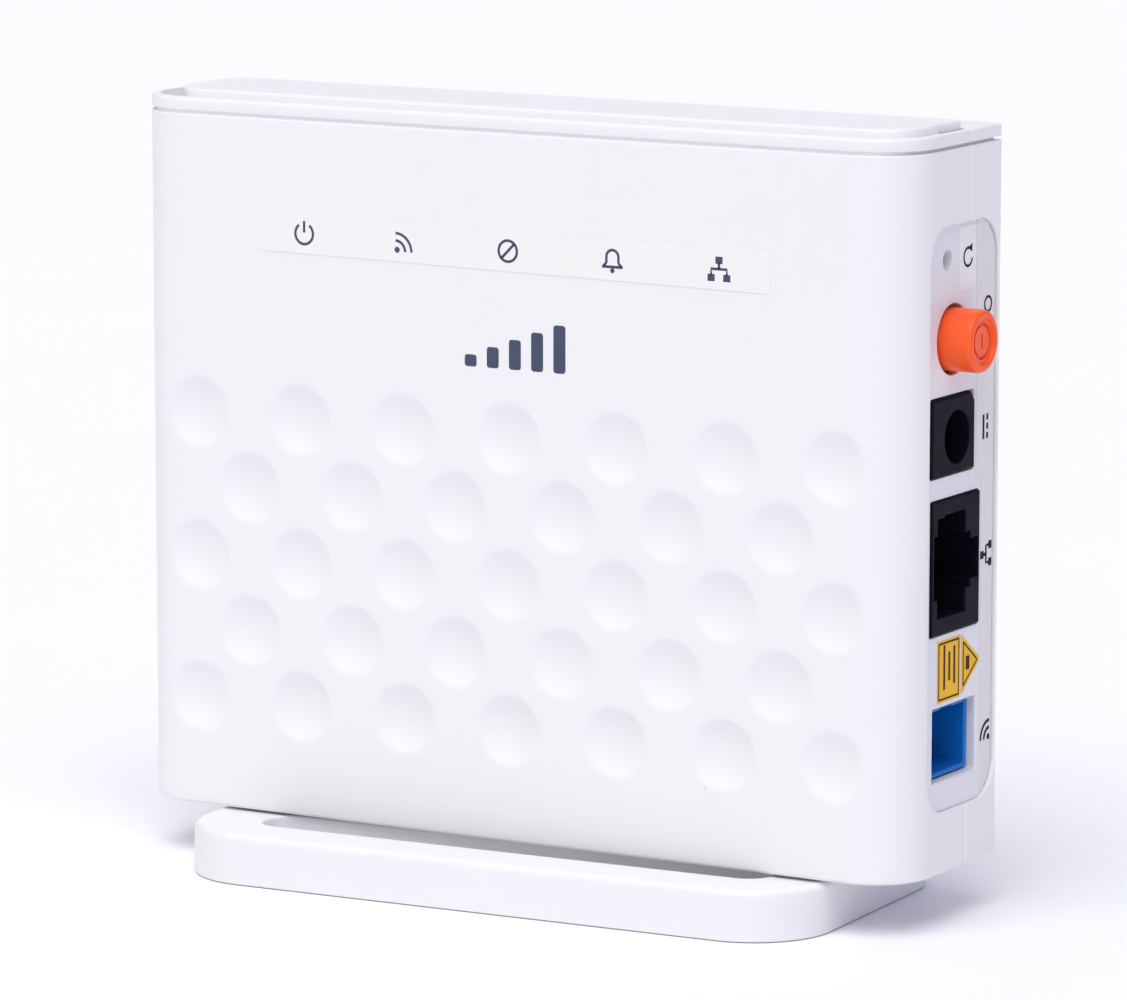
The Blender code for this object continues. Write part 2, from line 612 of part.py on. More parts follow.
def make_optics():
    """Metal transceiver with its round nose, and the fibre that joins it to the adapter."""
    y, z = -0.2, 21.4
    obj = solid("optical_module", box((13.0, PART_Y, 16.8), (20.5, 3.6, 26.0)))
    add(obj, turned("X", y, z, ((20.0, 2.4), (23.2, 2.4), (23.8, 1.5)), 12))
    finish(obj, STEEL, 0.35, 1.0)

    loop_y, loop_x, loop_z, loop_r = 7.4, -13.0, 45.0, 20.0
    curve = bpy.data.curves.new("fibre_pigtail", "CURVE")
    curve.dimensions = "3D"
    curve.bevel_depth = 0.45
    curve.bevel_resolution = 1
    curve.use_fill_caps = True
    spline = curve.splines.new("POLY")
    points = [(24.4, 2.3, 21.4), (22.6, 4.6, 21.6), (19.0, 6.6, 22.4), (10.0, loop_y, 24.2)]
    for i in range(27):
        a = math.radians(-62 + 14 * i)
        points.append((loop_x + loop_r * math.cos(a), loop_y - 0.05 * i, loop_z + loop_r * math.sin(a)))
    points += [(2.0, 5.9, 30.0), (6.5, 4.9, 35.0), (12.0, 4.5, 33.5)]
    points += [(14.5, 5.6, 30.0), (25.6, 6.0, 28.2), (29.2, 3.4, 27.4)]
    spline.points.add(len(points) - 1)
    for point, place in zip(spline.points, points):
        point.co = (*place, 1)
    source = bpy.data.objects.new("fibre_source", curve)
    bpy.context.scene.collection.objects.link(source)
    depsgraph = bpy.context.evaluated_depsgraph_get()
    mesh = bpy.data.meshes.new_from_object(source.evaluated_get(depsgraph))
    bpy.data.objects.remove(source)
    obj = bpy.data.objects.new("fibre_pigtail", mesh)
    bpy.context.scene.collection.objects.link(obj)
    finish(obj, (0.80, 0.80, 0.75), 0.4)


def make_indicators():
    front = BOARD_FACE - BOARD_THICK - GAP
    for i, x in enumerate(LED_X, 1):
        lamp = box((x - 0.8, front - 0.8, LED_Z - 0.45), (x + 0.8, front, LED_Z + 0.45))
        finish(solid(f"indicator_led_{i}", lamp), (0.75, 0.80, 0.65), 0.3)
    near, far, root = front - 0.8 - GAP, FRONT + WALL + GAP, -8.4
    outline = [(LED_X[0] - 2.0, far), (LED_X[-1] + 2.0, far)]
    for x in reversed(LED_X):
        outline += [(x + 1.0, root), (x + 1.0, near), (x - 1.0, near), (x - 1.0, root)]
    outline.insert(2, (LED_X[-1] + 2.0, root))
    outline.append((LED_X[0] - 2.0, root))
    finish(solid("light_guide", prism("Z", outline, LED_Z - 0.9, LED_Z + 0.9)), (0.80, 0.84, 0.88), 0.15)


# ------------------------------------------------------------------- stand

def stand_ring(z, inset):
    low = (STAND_LEFT + inset, inset - STAND_WIDTH / 2)
    high = (STAND_RIGHT - inset, STAND_WIDTH / 2 - inset)
    return [(x, y, z) for x, y in rounded(low, high, STAND_RADIUS - inset)]


def make_stand():
    pivot = bpy.data.objects.new("stand_axis", None)
    bpy.context.scene.collection.objects.link(pivot)
    pivot.rotation_euler = (0, 0, STAND_TURN)

    top = STAND_HEIGHT
    profile = ((0, 0.4), (0.4, 0.0), (top - 0.8, 0.1), (top - 0.2, 0.35), (top, 0.9))
    obj = solid("stand_base", loft([stand_ring(z, inset) for z, inset in profile]))
    slots = []
    for side in (1, -1):
        low_y, high_y = sorted((side * SLOT_INNER, side * SLOT_OUTER))
        slot = rounded((SLOT_LEFT, low_y), (SLOT_RIGHT, high_y), SLOT_RADIUS, 4)
        slots.append(prism("Z", slot, -1, top + 1))
    cut(obj, *slots)
    cut(obj, turned("Z", 0, 0, ((RING_SEAT, RING_RADIUS + GAP), (top + 1, RING_RADIUS + GAP)), 24))
    cut(obj, turned("Z", 0, 0, ((SOCKET_FLOOR, SOCKET_RADIUS), (top, SOCKET_RADIUS)), 24))
    finish(obj, WHITE, 0.4, parent=pivot)

    ring = tube("Z", 0, 0, RING_SEAT + GAP, STAND_HEIGHT - 0.1, RING_RADIUS, RING_BORE, 24)
    finish(solid("retaining_ring", ring), (0.70, 0.70, 0.72), 0.5, parent=pivot)
    washer = tube("Z", 0, 0, 3.7, 4.1, POST_FLANGE, RING_BORE, 24)
    finish(solid("friction_washer", washer), (0.20, 0.20, 0.22), 0.6, parent=pivot)


def make_pivot_post():
    """Flanged post under the housing that the stand turns on, and the screw that holds it."""
    profile = ((SOCKET_FLOOR + GAP, POST_FLANGE), (3.4, POST_FLANGE), (3.4, POST_NECK),
               (BODY_BOTTOM - GAP, POST_NECK))
    obj = solid("pivot_post", turned("Z", 0, 0, profile, 24))
    cut(obj, turned("Z", 0, 0, ((2.9, 1.6), (BODY_BOTTOM + 1, 1.6)), 12))
    finish(obj, WHITE, 0.45)
    floor = BODY_BOTTOM + WALL + GAP
    steps = ((3.2, 1.0), (floor, 1.3), (floor, 2.8), (floor + 1.1, 2.8), (floor + 1.8, 1.8))
    screw = turned("Z", 0, 0, steps, 12)
    finish(solid("pivot_screw", screw), STEEL, 0.3, 1.0)


def main():
    clear_scene()
    make_front_cover()
    make_rear_cover()
    make_port_panel()
    make_labels()
    make_dc_jack()
    make_lan_jack()
    make_fibre_adapter()
    make_power_button()
    make_reset()
    make_board()
    make_components()
    make_optics()
    make_indicators()
    make_stand()
    make_pivot_post()


main()
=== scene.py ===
import json
import math

import bmesh
import bpy
from mathutils import Matrix, Vector


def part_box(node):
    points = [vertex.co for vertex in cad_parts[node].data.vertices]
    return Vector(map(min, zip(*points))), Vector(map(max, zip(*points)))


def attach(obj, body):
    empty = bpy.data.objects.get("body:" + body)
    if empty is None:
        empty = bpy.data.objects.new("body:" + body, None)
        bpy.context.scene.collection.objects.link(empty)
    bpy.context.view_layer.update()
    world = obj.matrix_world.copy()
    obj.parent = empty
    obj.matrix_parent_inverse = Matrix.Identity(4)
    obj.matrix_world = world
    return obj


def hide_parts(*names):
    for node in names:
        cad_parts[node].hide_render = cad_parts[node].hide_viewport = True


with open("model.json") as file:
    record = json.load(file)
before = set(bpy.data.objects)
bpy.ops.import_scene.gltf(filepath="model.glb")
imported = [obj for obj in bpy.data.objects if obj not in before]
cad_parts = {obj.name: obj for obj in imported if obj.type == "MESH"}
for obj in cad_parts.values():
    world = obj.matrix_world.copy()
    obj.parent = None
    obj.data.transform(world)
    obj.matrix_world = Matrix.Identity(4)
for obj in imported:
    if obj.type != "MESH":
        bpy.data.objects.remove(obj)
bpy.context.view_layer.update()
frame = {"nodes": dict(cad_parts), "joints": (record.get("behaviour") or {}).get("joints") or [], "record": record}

# Optical network terminal. Lengths are in millimetres until piece() turns them into metres.
MM = 0.001
SHARP_ANGLE = 38
NODES = frame["nodes"]
JOINTS = {joint["name"]: joint for joint in frame["joints"]}


def node_box(name):
    low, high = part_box(name)
    return low / MM, high / MM


def centre_xz(node):
    low, high = node_box(node)
    return (low.x + high.x) / 2, (low.z + high.z) / 2


def centre_yz(node):
    low, high = node_box(node)
    return (low.y + high.y) / 2, (low.z + high.z) / 2


# ---- sizes from the frame

FRONT_LOW, FRONT_HIGH = node_box("front_cover")
REAR_HIGH = node_box("rear_cover")[1]
PANEL_LOW, PANEL_HIGH = node_box("port_panel")
SIDE = FRONT_HIGH.x
FRONT = FRONT_LOW.y
REAR = REAR_HIGH.y
BOTTOM = FRONT_LOW.z
RIM = REAR_HIGH.z
PLATFORM_TOP = FRONT_HIGH.z
SEAM = 0.05                    # half the hairline between the covers
PARTING = FRONT_HIGH.y + 0.15
WALL = 2.0
FRONT_RADIUS, REAR_RADIUS = 7.2, 0.5
GROOVE_Z, GROOVE_HALF, GROOVE_EDGE = RIM - 1.7, 0.2, 0.16
GROOVE_DEPTH, GROOVE_SHALLOW = 0.75, 0.28     # at the sides, and across the front face
CAVITY_TOP = RIM - 3.1

PLATFORM_LEFT, PLATFORM_RIGHT, PLATFORM_FRONT, PLATFORM_RADIUS = -47.6, 51.4, FRONT + 0.9, 5.6
MOAT_LEFT, MOAT_RIGHT, MOAT_DEPTH = -51.5, 51.7, 1.1
MOAT_LEFT_FRONT, MOAT_RIGHT_FRONT = -10.2, -2.2
NOTCH_HALF_X, NOTCH_HALF_Y, NOTCH_DEPTH = 0.25, 0.2, 0.6    # small step in the plate's right end

DIMPLE_RADIUS, DIMPLE_DEPTH, DIMPLE_SOFT = 4.2, 0.9, 0.09
DIMPLE_PITCH, DIMPLE_ROW, DIMPLE_TOP, DIMPLE_SHIFT = 14.4, 8.65, 54.3, 0.5
DIMPLE_ROWS = (7, 6, 7, 6, 7)
GRID = 0.36                    # spacing of the dimpled face's mesh

BAY_LOW, BAY_HIGH, BAY_RADIUS = (-5.6, 13.5), (11.5, 81.4), 4.5
BAY_FLOOR = PANEL_HIGH.x
POCKET_LOW, POCKET_HIGH, POCKET_SIDE = (-7.2, 11.8), (9.9, 83.1), 51.35
BAY_GAP = 0.2                  # width of the gap along the bay's rear wall

VENT_BANDS = ((19.0, 31.0), (66.0, 80.0))
VENT_COUNT, VENT_PITCH, VENT_SHIFT, VENT_HALF = 13, 4.6, 2.0, 0.8
KEYHOLE_SIDE, KEYHOLE_Z, KEYHOLE_RADIUS = 36.0, 50.0, 3.6
KEYHOLE_SLOT, KEYHOLE_SLOT_LOW, KEYHOLE_SLOT_HIGH = 1.8, 49.0, 58.0
WELL_RADIUS, WELL_FLOOR, WELL_BOSS = 2.9, 7.2, 4.0     # wells of the two case screws

STAND_TURN = math.radians(-JOINTS["stand_swivel"]["range_deg"][0])


# ---- outlines

def circle(u, v, radius, count=48):
    steps = [2 * math.pi * i / count for i in range(count)]
    return [(u + radius * math.cos(a), v + radius * math.sin(a)) for a in steps]


def rounded(low, high, radius, steps=8):
    """Rectangle with round corners, counter-clockwise from the lower right."""
    radius = max(radius, 0.02)
    corners = (
        (high[0] - radius, low[1] + radius, -90),
        (high[0] - radius, high[1] - radius, 0),
        (low[0] + radius, high[1] - radius, 90),
        (low[0] + radius, low[1] + radius, 180),
    )
    points = []
    for u, v, start in corners:
        for i in range(steps + 1):
            a = math.radians(start + 90 * i / steps)
            points.append((u + radius * math.cos(a), v + radius * math.sin(a)))
    return points


def grown(low, high, by):
    return (low[0] - by, low[1] - by), (high[0] + by, high[1] + by)


def rounded_shape(low, high, radius, steps=8):
    """Function of growth that gives a rounded rectangle."""
    return lambda grow: rounded(*grown(low, high, grow), radius + grow, steps)


def circle_shape(u, v, radius, count=48):
    return lambda grow: circle(u, v, radius + grow, count)


def fillet(radius, steps=5):
    """(depth, growth) pairs of a round edge, from its deep end up to the surface."""
    pairs = []
    for i in range(steps + 1):
        a = math.radians(90 * i / steps)
        pairs.append((radius * (1 - math.sin(a)), radius * (1 - math.cos(a))))
    return pairs


# ---- solids

def at(axis, u, v, w):
    return {"X": (w, u, v), "Y": (u, w, v), "Z": (u, v, w)}[axis]


def loft(rings, closed=True):
    """Solid through rings of points with equal counts, capped at both ends."""
    bm = bmesh.new()
    rows = [[bm.verts.new(p) for p in ring] for ring in rings]
    pairs = list(zip(rows, rows[1:]))
    if not closed:
        pairs.append((rows[-1], rows[0]))
    for lower, upper in pairs:
        for i in range(len(lower)):
            j = (i + 1) % len(lower)
            bm.faces.new((lower[i], lower[j], upper[j], upper[i]))
    if closed:
        bm.faces.new(rows[0][::-1])
        bm.faces.new(rows[-1])
    bmesh.ops.recalc_face_normals(bm, faces=bm.faces)
    return bm


def shell_loft(rings):
    """Solid through rings whose first and last points lie in the parting plane."""
    bm = bmesh.new()
    rows = [[bm.verts.new(p) for p in ring] for ring in rings]
    for lower, upper in zip(rows, rows[1:]):
        for i in range(len(lower) - 1):
            bm.faces.new((lower[i], lower[i + 1], upper[i + 1], upper[i]))
    bm.faces.new(rows[0][::-1])
    bm.faces.new(rows[-1])
    bm.faces.new([row[0] for row in rows] + [row[-1] for row in reversed(rows)])
    bmesh.ops.recalc_face_normals(bm, faces=bm.faces)
    return bm


def prism(axis, outline, low, high):
    return loft([[at(axis, u, v, w) for u, v in outline] for w in (low, high)])


def turned(axis, u, v, profile, count=48, closed=True):
    """Solid of revolution from (w, radius) steps; not closed gives a ring."""
    rings = []
    for w, radius in profile:
        rings.append([at(axis, a, b, w) for a, b in circle(u, v, radius, count)])
    return loft(rings, closed)


def dome(w, rise, radius, reach, angles):
    """(w, radius) steps of a round end, for turned()."""
    turns = [math.radians(a) for a in angles]
    return [(w + rise * math.sin(t), radius + reach * math.cos(t)) for t in turns]


def block(axis, shape, low, high, edge, edge_low):
    """Prism with round edges at both ends; shape is a function of growth."""
    rings = []
    for depth, growth in reversed(fillet(edge_low, 3)):
        rings.append((low + depth, -growth))
    for depth, growth in fillet(edge, 3):
        rings.append((high - depth, -growth))
    return loft([[at(axis, u, v, w) for u, v in shape(g)] for w, g in rings])


def mouth(axis, shape, deep, surface, edge=0.2, back=None, steps=4):
    """Cutter from deep to the surface that leaves a round edge there, and at back if that is given."""
    sign = 1 if surface > deep else -1
    rings = []
    if back is None:
        rings.append((deep, 0.0))
    else:
        rings.append((back - sign, edge + 0.05))
        rings += [(back + sign * depth, growth) for depth, growth in reversed(fillet(edge, steps))]
    rings += [(surface - sign * depth, growth) for depth, growth in fillet(edge, steps)]
    rings.append((surface + sign, edge + 0.05))
    return loft([[at(axis, u, v, w) for u, v in shape(g)] for w, g in rings])


def mesh_object(name, bm):
    mesh = bpy.data.meshes.new(name)
    bm.to_mesh(mesh)
    bm.free()
    obj = bpy.data.objects.new(name, mesh)
    bpy.context.scene.collection.objects.link(obj)
    return obj


def join(solids):
    joined = bmesh.new()
    for bm in solids:
        part = bpy.data.meshes.new("part")
        bm.to_mesh(part)
        bm.free()
        joined.from_mesh(part)
        bpy.data.meshes.remove(part)
    return joined


def combine(obj, solids, operation):
    cutter = mesh_object("cutter", join(solids))
    modifier = obj.modifiers.new("cut", "BOOLEAN")
    modifier.operation = operation
    modifier.object = cutter
    modifier.solver = "MANIFOLD"
    depsgraph = bpy.context.evaluated_depsgraph_get()
    result = bpy.data.meshes.new_from_object(obj.evaluated_get(depsgraph))
    obj.modifiers.clear()
    old, obj.data = obj.data, result
    bpy.data.meshes.remove(old)
    bpy.data.objects.remove(cutter)


def cut(obj, *solids):
    combine(obj, solids, "DIFFERENCE")


def add(obj, *solids):
    combine(obj, solids, "UNION")


def piece(source, name, mat, body="housing", stands_for=(), weighted=True, turn=0.0):
    """Finish a solid: metres, smooth shading, material, and the body it rides on."""
    obj = source if isinstance(source, bpy.types.Object) else mesh_object(name, source)
    obj.name = name
    obj.data.name = name
    obj.data.transform(Matrix.Rotation(turn, 4, "Z") @ Matrix.Scale(MM, 4))
    obj.data.materials.clear()
    obj.data.materials.append(mat)
    for polygon in obj.data.polygons:
        polygon.material_index = 0
    obj.data.shade_smooth()
    obj.data.set_sharp_from_angle(angle=math.radians(SHARP_ANGLE))
    if weighted:
        normals = obj.modifiers.new("normals", "WEIGHTED_NORMAL")
        normals.keep_sharp = True
        normals.weight = 80
    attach(obj, body)
    if stands_for:
        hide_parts(*stands_for)
    return obj


# ---- materials

def mix_colours(tree, amount, first, second):
    """Colour mix node; each source is a socket or a colour."""
    made = tree.nodes.new("ShaderNodeMix")
    made.data_type = "RGBA"
    targets = [socket for socket in made.inputs if socket.enabled]
    for socket, source in zip(targets, (amount, first, second)):
        if isinstance(source, bpy.types.NodeSocket):
            tree.links.new(source, socket)
        else:
            socket.default_value = (*source, 1.0)
    return [socket for socket in made.outputs if socket.enabled][0]


class Shader:
    """Small helper that adds and links nodes of one material."""

    def __init__(self, name):
        self.mat = bpy.data.materials.new(name)
        self.mat.use_nodes = True
        self.tree = self.mat.node_tree
        self.surface = self.tree.nodes["Principled BSDF"]
        self.place = self.node("ShaderNodeTexCoord").outputs["Object"]

    def node(self, kind, **values):
        made = self.tree.nodes.new(kind)
        for key, value in values.items():
            setattr(made, key, value)
        return made

    def link(self, source, target):
        self.tree.links.new(source, target)

    def stretched(self, scale):
        mapping = self.node("ShaderNodeMapping")
        mapping.inputs["Scale"].default_value = scale
        self.link(self.place, mapping.inputs["Vector"])
        return mapping.outputs["Vector"]

    def noise(self, size_mm, detail=3.0, rough=0.5, vector=None):
        """Noise whose features are about size_mm across."""
        made = self.node("ShaderNodeTexNoise")
        made.inputs["Scale"].default_value = 1 / (size_mm * MM)
        made.inputs["Detail"].default_value = detail
        made.inputs["Roughness"].default_value = rough
        self.link(vector or self.place, made.inputs["Vector"])
        return made.outputs["Fac"]

    def remap(self, value, low, high, to_low=0.0, to_high=1.0):
        made = self.node("ShaderNodeMapRange")
        for key, number in (("From Min", low), ("From Max", high), ("To Min", to_low), ("To Max", to_high)):
            made.inputs[key].default_value = number
        self.link(value, made.inputs["Value"])
        return made.outputs["Result"]

    def mix(self, *sources):
        return mix_colours(self.tree, *sources)

    def colour(self, value):
        if isinstance(value, tuple):
            self.surface.inputs["Base Color"].default_value = (*value, 1.0)
        else:
            self.link(value, self.surface.inputs["Base Color"])

    def bump(self, height, strength, distance_mm):
        made = self.node("ShaderNodeBump")
        made.inputs["Strength"].default_value = strength
        made.inputs["Distance"].default_value = distance_mm * MM
        self.link(height, made.inputs["Height"])
        self.link(made.outputs["Normal"], self.surface.inputs["Normal"])

    def set(self, **values):
        for key, value in values.items():
            socket = self.surface.inputs[key.replace("_", " ")]
            if isinstance(value, bpy.types.NodeSocket):
                self.link(value, socket)
            else:
                socket.default_value = value


def lighter(colour, factor):
    return tuple(min(1.0, c * factor) for c in colour)


def moulded(name, colour, rough=0.36, grain=0.22, grain_depth=0.012, vary=0.03, specks=0.0, glow=0.0,
            gloss=0.5):
    """Injection-moulded plastic: fine spark-eroded grain, faint flow variation, rare specks."""
    s = Shader(name)
    flow = s.remap(s.noise(26.0, 4.0, 0.6), 0.3, 0.7)
    tone = s.mix(flow, lighter(colour, 1 - vary), lighter(colour, 1 + vary * 0.4))
    if specks:
        dots = s.node("ShaderNodeTexVoronoi")
        dots.inputs["Scale"].default_value = 1 / (9.0 * MM)
        s.link(s.place, dots.inputs["Vector"])
        spot = s.remap(dots.outputs["Distance"], 0.02, 0.03, 1.0, 0.0)
        rare = s.remap(s.noise(14.0, 1.0), 0.60, 0.62)
        both = s.node("ShaderNodeMath", operation="MULTIPLY")
        s.link(spot, both.inputs[0])
        s.link(rare, both.inputs[1])
        amount = s.remap(both.outputs[0], 0.0, 1.0, 0.0, specks)
        tone = s.mix(amount, tone, lighter(colour, 0.35))
    s.colour(tone)
    fine = s.noise(grain, 2.0, 0.6)
    s.bump(fine, 0.35, grain_depth)
    s.set(Roughness=s.remap(s.noise(3.0, 5.0, 0.65), 0.3, 0.7, rough - 0.05, rough + 0.06))
    s.set(IOR=1.5, Specular_IOR_Level=gloss)
    if glow:
        s.set(Subsurface_Weight=glow, Subsurface_Scale=0.8 * MM, Subsurface_Radius=(1.0, 0.7, 0.6))
    return s.mat


def paper(name, colour, rough=0.62, vary=0.05, gloss=0.35):
    """Printed label stock: short fibres, slight mottling."""
    s = Shader(name)
    mottle = s.remap(s.noise(1.6, 5.0, 0.7), 0.25, 0.75)
    s.colour(s.mix(mottle, lighter(colour, 1 - vary), lighter(colour, 1 + vary * 0.5)))
    fibres = s.noise(0.12, 3.0, 0.7, s.stretched((1.0, 1.0, 3.0)))
    s.bump(fibres, 0.25, 0.01)
    s.set(Roughness=s.remap(mottle, 0, 1, rough - 0.06, rough + 0.05), Specular_IOR_Level=gloss)
    return s.mat


def metal(name, colour, rough=0.28, brush=(1.0, 1.0, 14.0)):
    """Drawn or plated metal with fine directional brushing."""
    s = Shader(name)
    lines = s.noise(0.35, 6.0, 0.7, s.stretched(brush))
    s.colour(s.mix(s.remap(lines, 0.3, 0.7), lighter(colour, 0.85), lighter(colour, 1.08)))
    s.set(Metallic=1.0, Roughness=s.remap(lines, 0.3, 0.7, rough - 0.06, rough + 0.12))
    s.bump(lines, 0.15, 0.01)
    return s.mat


def circuit(name):
    """Solder-masked laminate: copper tracks under the mask, vias and bare pads."""
    s = Shader(name)
    tracks = s.node("ShaderNodeTexBrick")
    tracks.inputs["Scale"].default_value = 1 / (4.0 * MM)
    tracks.inputs["Mortar Size"].default_value = 0.06
    tracks.inputs["Color1"].default_value = (0.010, 0.110, 0.040, 1)
    tracks.inputs["Color2"].default_value = (0.016, 0.150, 0.055, 1)
    tracks.inputs["Mortar"].default_value = (0.030, 0.240, 0.090, 1)
    s.link(s.place, tracks.inputs["Vector"])
    vias = s.node("ShaderNodeTexVoronoi")
    vias.inputs["Scale"].default_value = 1 / (2.6 * MM)
    s.link(s.place, vias.inputs["Vector"])
    pad = s.remap(vias.outputs["Distance"], 0.10, 0.12, 1.0, 0.0)
    s.colour(s.mix(pad, tracks.outputs["Color"], (0.55, 0.50, 0.38)))
    s.bump(tracks.outputs["Fac"], 0.4, 0.03)
    s.set(Roughness=0.32, Coat_Weight=0.3)
    return s.mat


def clear_moulding(name, colour):
    s = Shader(name)
    haze = s.noise(0.8, 3.0)
    s.colour(colour)
    s.set(Transmission_Weight=0.8, IOR=1.49, Roughness=s.remap(haze, 0.3, 0.7, 0.05, 0.2))
    return s.mat


WHITE = (0.852, 0.847, 0.860)
SHELL = moulded("shell_white", WHITE, 0.40, vary=0.01, specks=0.5)
PANEL = moulded("panel_white", (0.785, 0.775, 0.82), 0.42, vary=0.012)
STAND = moulded("stand_white", (0.828, 0.824, 0.844), 0.40, vary=0.012, specks=0.4)
ORANGE = moulded("button_orange", (0.98, 0.115, 0.022), 0.33, vary=0.06, glow=0.2, gloss=0.3)
BLACK = moulded("jack_black", (0.0055, 0.0065, 0.012), 0.46, grain=0.16, vary=0.15, gloss=0.05)
BLUE = moulded("adapter_blue", (0.006, 0.17, 0.56), 0.30, vary=0.08, glow=0.1, gloss=0.3)
GREEN = moulded("plug_green", (0.02, 0.24, 0.12), 0.4)
GREY = moulded("plunger_grey", (0.50, 0.50, 0.52), 0.5, vary=0.05)
CERAMIC = moulded("ceramic", (0.82, 0.82, 0.79), 0.12, grain=0.05, grain_depth=0.002)
EPOXY = moulded("chip_epoxy", (0.025, 0.025, 0.028), 0.55, grain=0.1, vary=0.12)
SLEEVE = moulded("capacitor_sleeve", (0.16, 0.18, 0.24), 0.3, vary=0.1)
RUBBER = moulded("washer_rubber", (0.04, 0.04, 0.045), 0.8, grain=0.3, vary=0.1)
PAD = moulded("thermal_pad_blue", (0.35, 0.45, 0.52), 0.85, grain=0.4, vary=0.08)
LAMP = moulded("lamp_resin", (0.70, 0.76, 0.60), 0.12, grain=0.05, glow=0.3)
FIBRE = moulded("fibre_buffer", (0.78, 0.78, 0.72), 0.35, vary=0.05)
STICKER = paper("sticker_white", (0.875, 0.862, 0.848), vary=0.03)
STRIP = paper("strip_grey", (0.78, 0.765, 0.765), 0.5)
AMBER = paper("label_amber", (0.88, 0.50, 0.020), 0.5, vary=0.04, gloss=0.2)
INK = paper("print_slate", (0.055, 0.075, 0.13), 0.5, vary=0.2)
BLACK_INK = paper("print_black", (0.012, 0.011, 0.012), 0.5, vary=0.2, gloss=0.1)
BROWN_INK = paper("print_brown", (0.06, 0.018, 0.006), 0.5, vary=0.2, gloss=0.1)
STEEL = metal("plated_steel", (0.62, 0.62, 0.64))
TIN = metal("shield_tin", (0.66, 0.66, 0.65), 0.32, (8.0, 1.0, 1.0))
GOLD = metal("contact_gold", (0.80, 0.58, 0.22), 0.22)
ALUMINIUM = metal("sink_aluminium", (0.60, 0.61, 0.63), 0.38)
BOARD = circuit("board_green")
GUIDE = clear_moulding("guide_clear", (0.86, 0.90, 0.94))

SLOT_LOOK = {
    "white_shell": SHELL, "panel_shell": PANEL, "stand_shell": STAND, "white_label": STICKER,
    "grey_label": STRIP, "amber_label": AMBER, "black_plastic": BLACK, "orange_plastic": ORANGE,
    "blue_plastic": BLUE, "green_plastic": GREEN, "grey_plastic": GREY, "dark_rubber": RUBBER,
    "ceramic": CERAMIC, "steel": STEEL, "gold_contact": GOLD, "aluminium": ALUMINIUM,
    "board_green": BOARD, "chip_black": EPOXY, "thermal_blue": PAD, "capacitor_sleeve": SLEEVE,
    "lamp": LAMP, "clear_plastic": GUIDE, "fibre_jacket": FIBRE,
}


def paint_cad_nodes():
    """Every CAD node gets the material of its slot; finer pieces then take the place of some."""
    for row in frame["record"]["subparts"]:
        obj = NODES[row["node"]]
        obj.data.materials.clear()
        obj.data.materials.append(SLOT_LOOK[row["material_slot"]])
    for name in ("shield_can", "optical_module", "clock_crystal"):
        NODES[name].data.materials[0] = TIN


# ---- covers

SEAM_BEVEL = {-1: 0.08, 1: 0.4}    # the rear cover's edge is the rounder one


def spread(low, high, step):
    count = max(1, round((high - low) / step))
    return [low + (high - low) * i / count for i in range(count + 1)]


def half_plan(side, half, edge, radius, open_y, arc_steps, inner_x):
    """Right half of a cover's plan, from the seam round the corner to the first inner column."""
    bevel = SEAM_BEVEL[side]
    centre = edge - side * radius
    points = [
        (half - bevel, open_y),
        (half - 0.3 * bevel, open_y + side * 0.3 * bevel),
        (half, open_y + side * bevel),
        (half, open_y + side * 0.6),
        (half, (open_y + centre) / 2),
    ]
    for i in range(arc_steps + 1):
        a = math.radians(90 * i / arc_steps)
        points.append((half - radius + radius * math.cos(a), centre + side * radius * math.sin(a)))
    points += [((half - radius) * share, edge) for share in inner_x]
    return points


def cover_ring(side, half, edge, radius, open_y, arc_steps, columns, z):
    """One closed ring of a cover."""
    right = half_plan(side, half, edge, radius, open_y, arc_steps, columns)
    plan = right + [(-x, y) for x, y in reversed(right)]
    return [(x, y, z) for x, y in plan]


def eased(value, low, high):
    share = min(1.0, max(0.0, (value - low) / (high - low)))
    return share * share * (3 - 2 * share)


def blended(first, second):
    """Ring that follows the first across the front face and turns into the second at the corners."""
    points = []
    for one, two in zip(first, second):
        share = eased(one[1], FRONT + 0.5, FRONT + 4.5)
        points.append(tuple(a + (b - a) * share for a, b in zip(one, two)))
    return points


def wall_levels(dense):
    """(z, inset) steps of the outer wall from the underside to the rim."""
    edge = 0.45
    levels = [(BOTTOM + depth, growth) for depth, growth in reversed(fillet(edge))]
    levels.append((BOTTOM + 1.2, 0.0))
    low = GROOVE_Z - GROOVE_HALF
    high = GROOVE_Z + GROOVE_HALF
    if dense:
        first = DIMPLE_TOP - (len(DIMPLE_ROWS) - 1) * DIMPLE_ROW - DIMPLE_RADIUS - 1
        levels += [(z, 0.0) for z in spread(first, DIMPLE_TOP + DIMPLE_RADIUS + 1, GRID)]
    levels += [(low - 1.0, 0.0)]
    levels += [(low - depth, growth) for depth, growth in fillet(GROOVE_EDGE, 3)]
    levels += [(low + 0.02, GROOVE_DEPTH), (high - 0.02, GROOVE_DEPTH)]
    levels += [(high + depth, growth) for depth, growth in reversed(fillet(GROOVE_EDGE, 3))]
    levels += [(RIM - 0.75, 0.0)]
    levels += [(RIM - depth, growth) for depth, growth in fillet(0.42)]
    return levels


def dimple_centres():
    for row, count in enumerate(DIMPLE_ROWS):
        for i in range(count):
            x = (i - (count - 1) / 2) * DIMPLE_PITCH + DIMPLE_SHIFT
            yield x, DIMPLE_TOP - row * DIMPLE_ROW


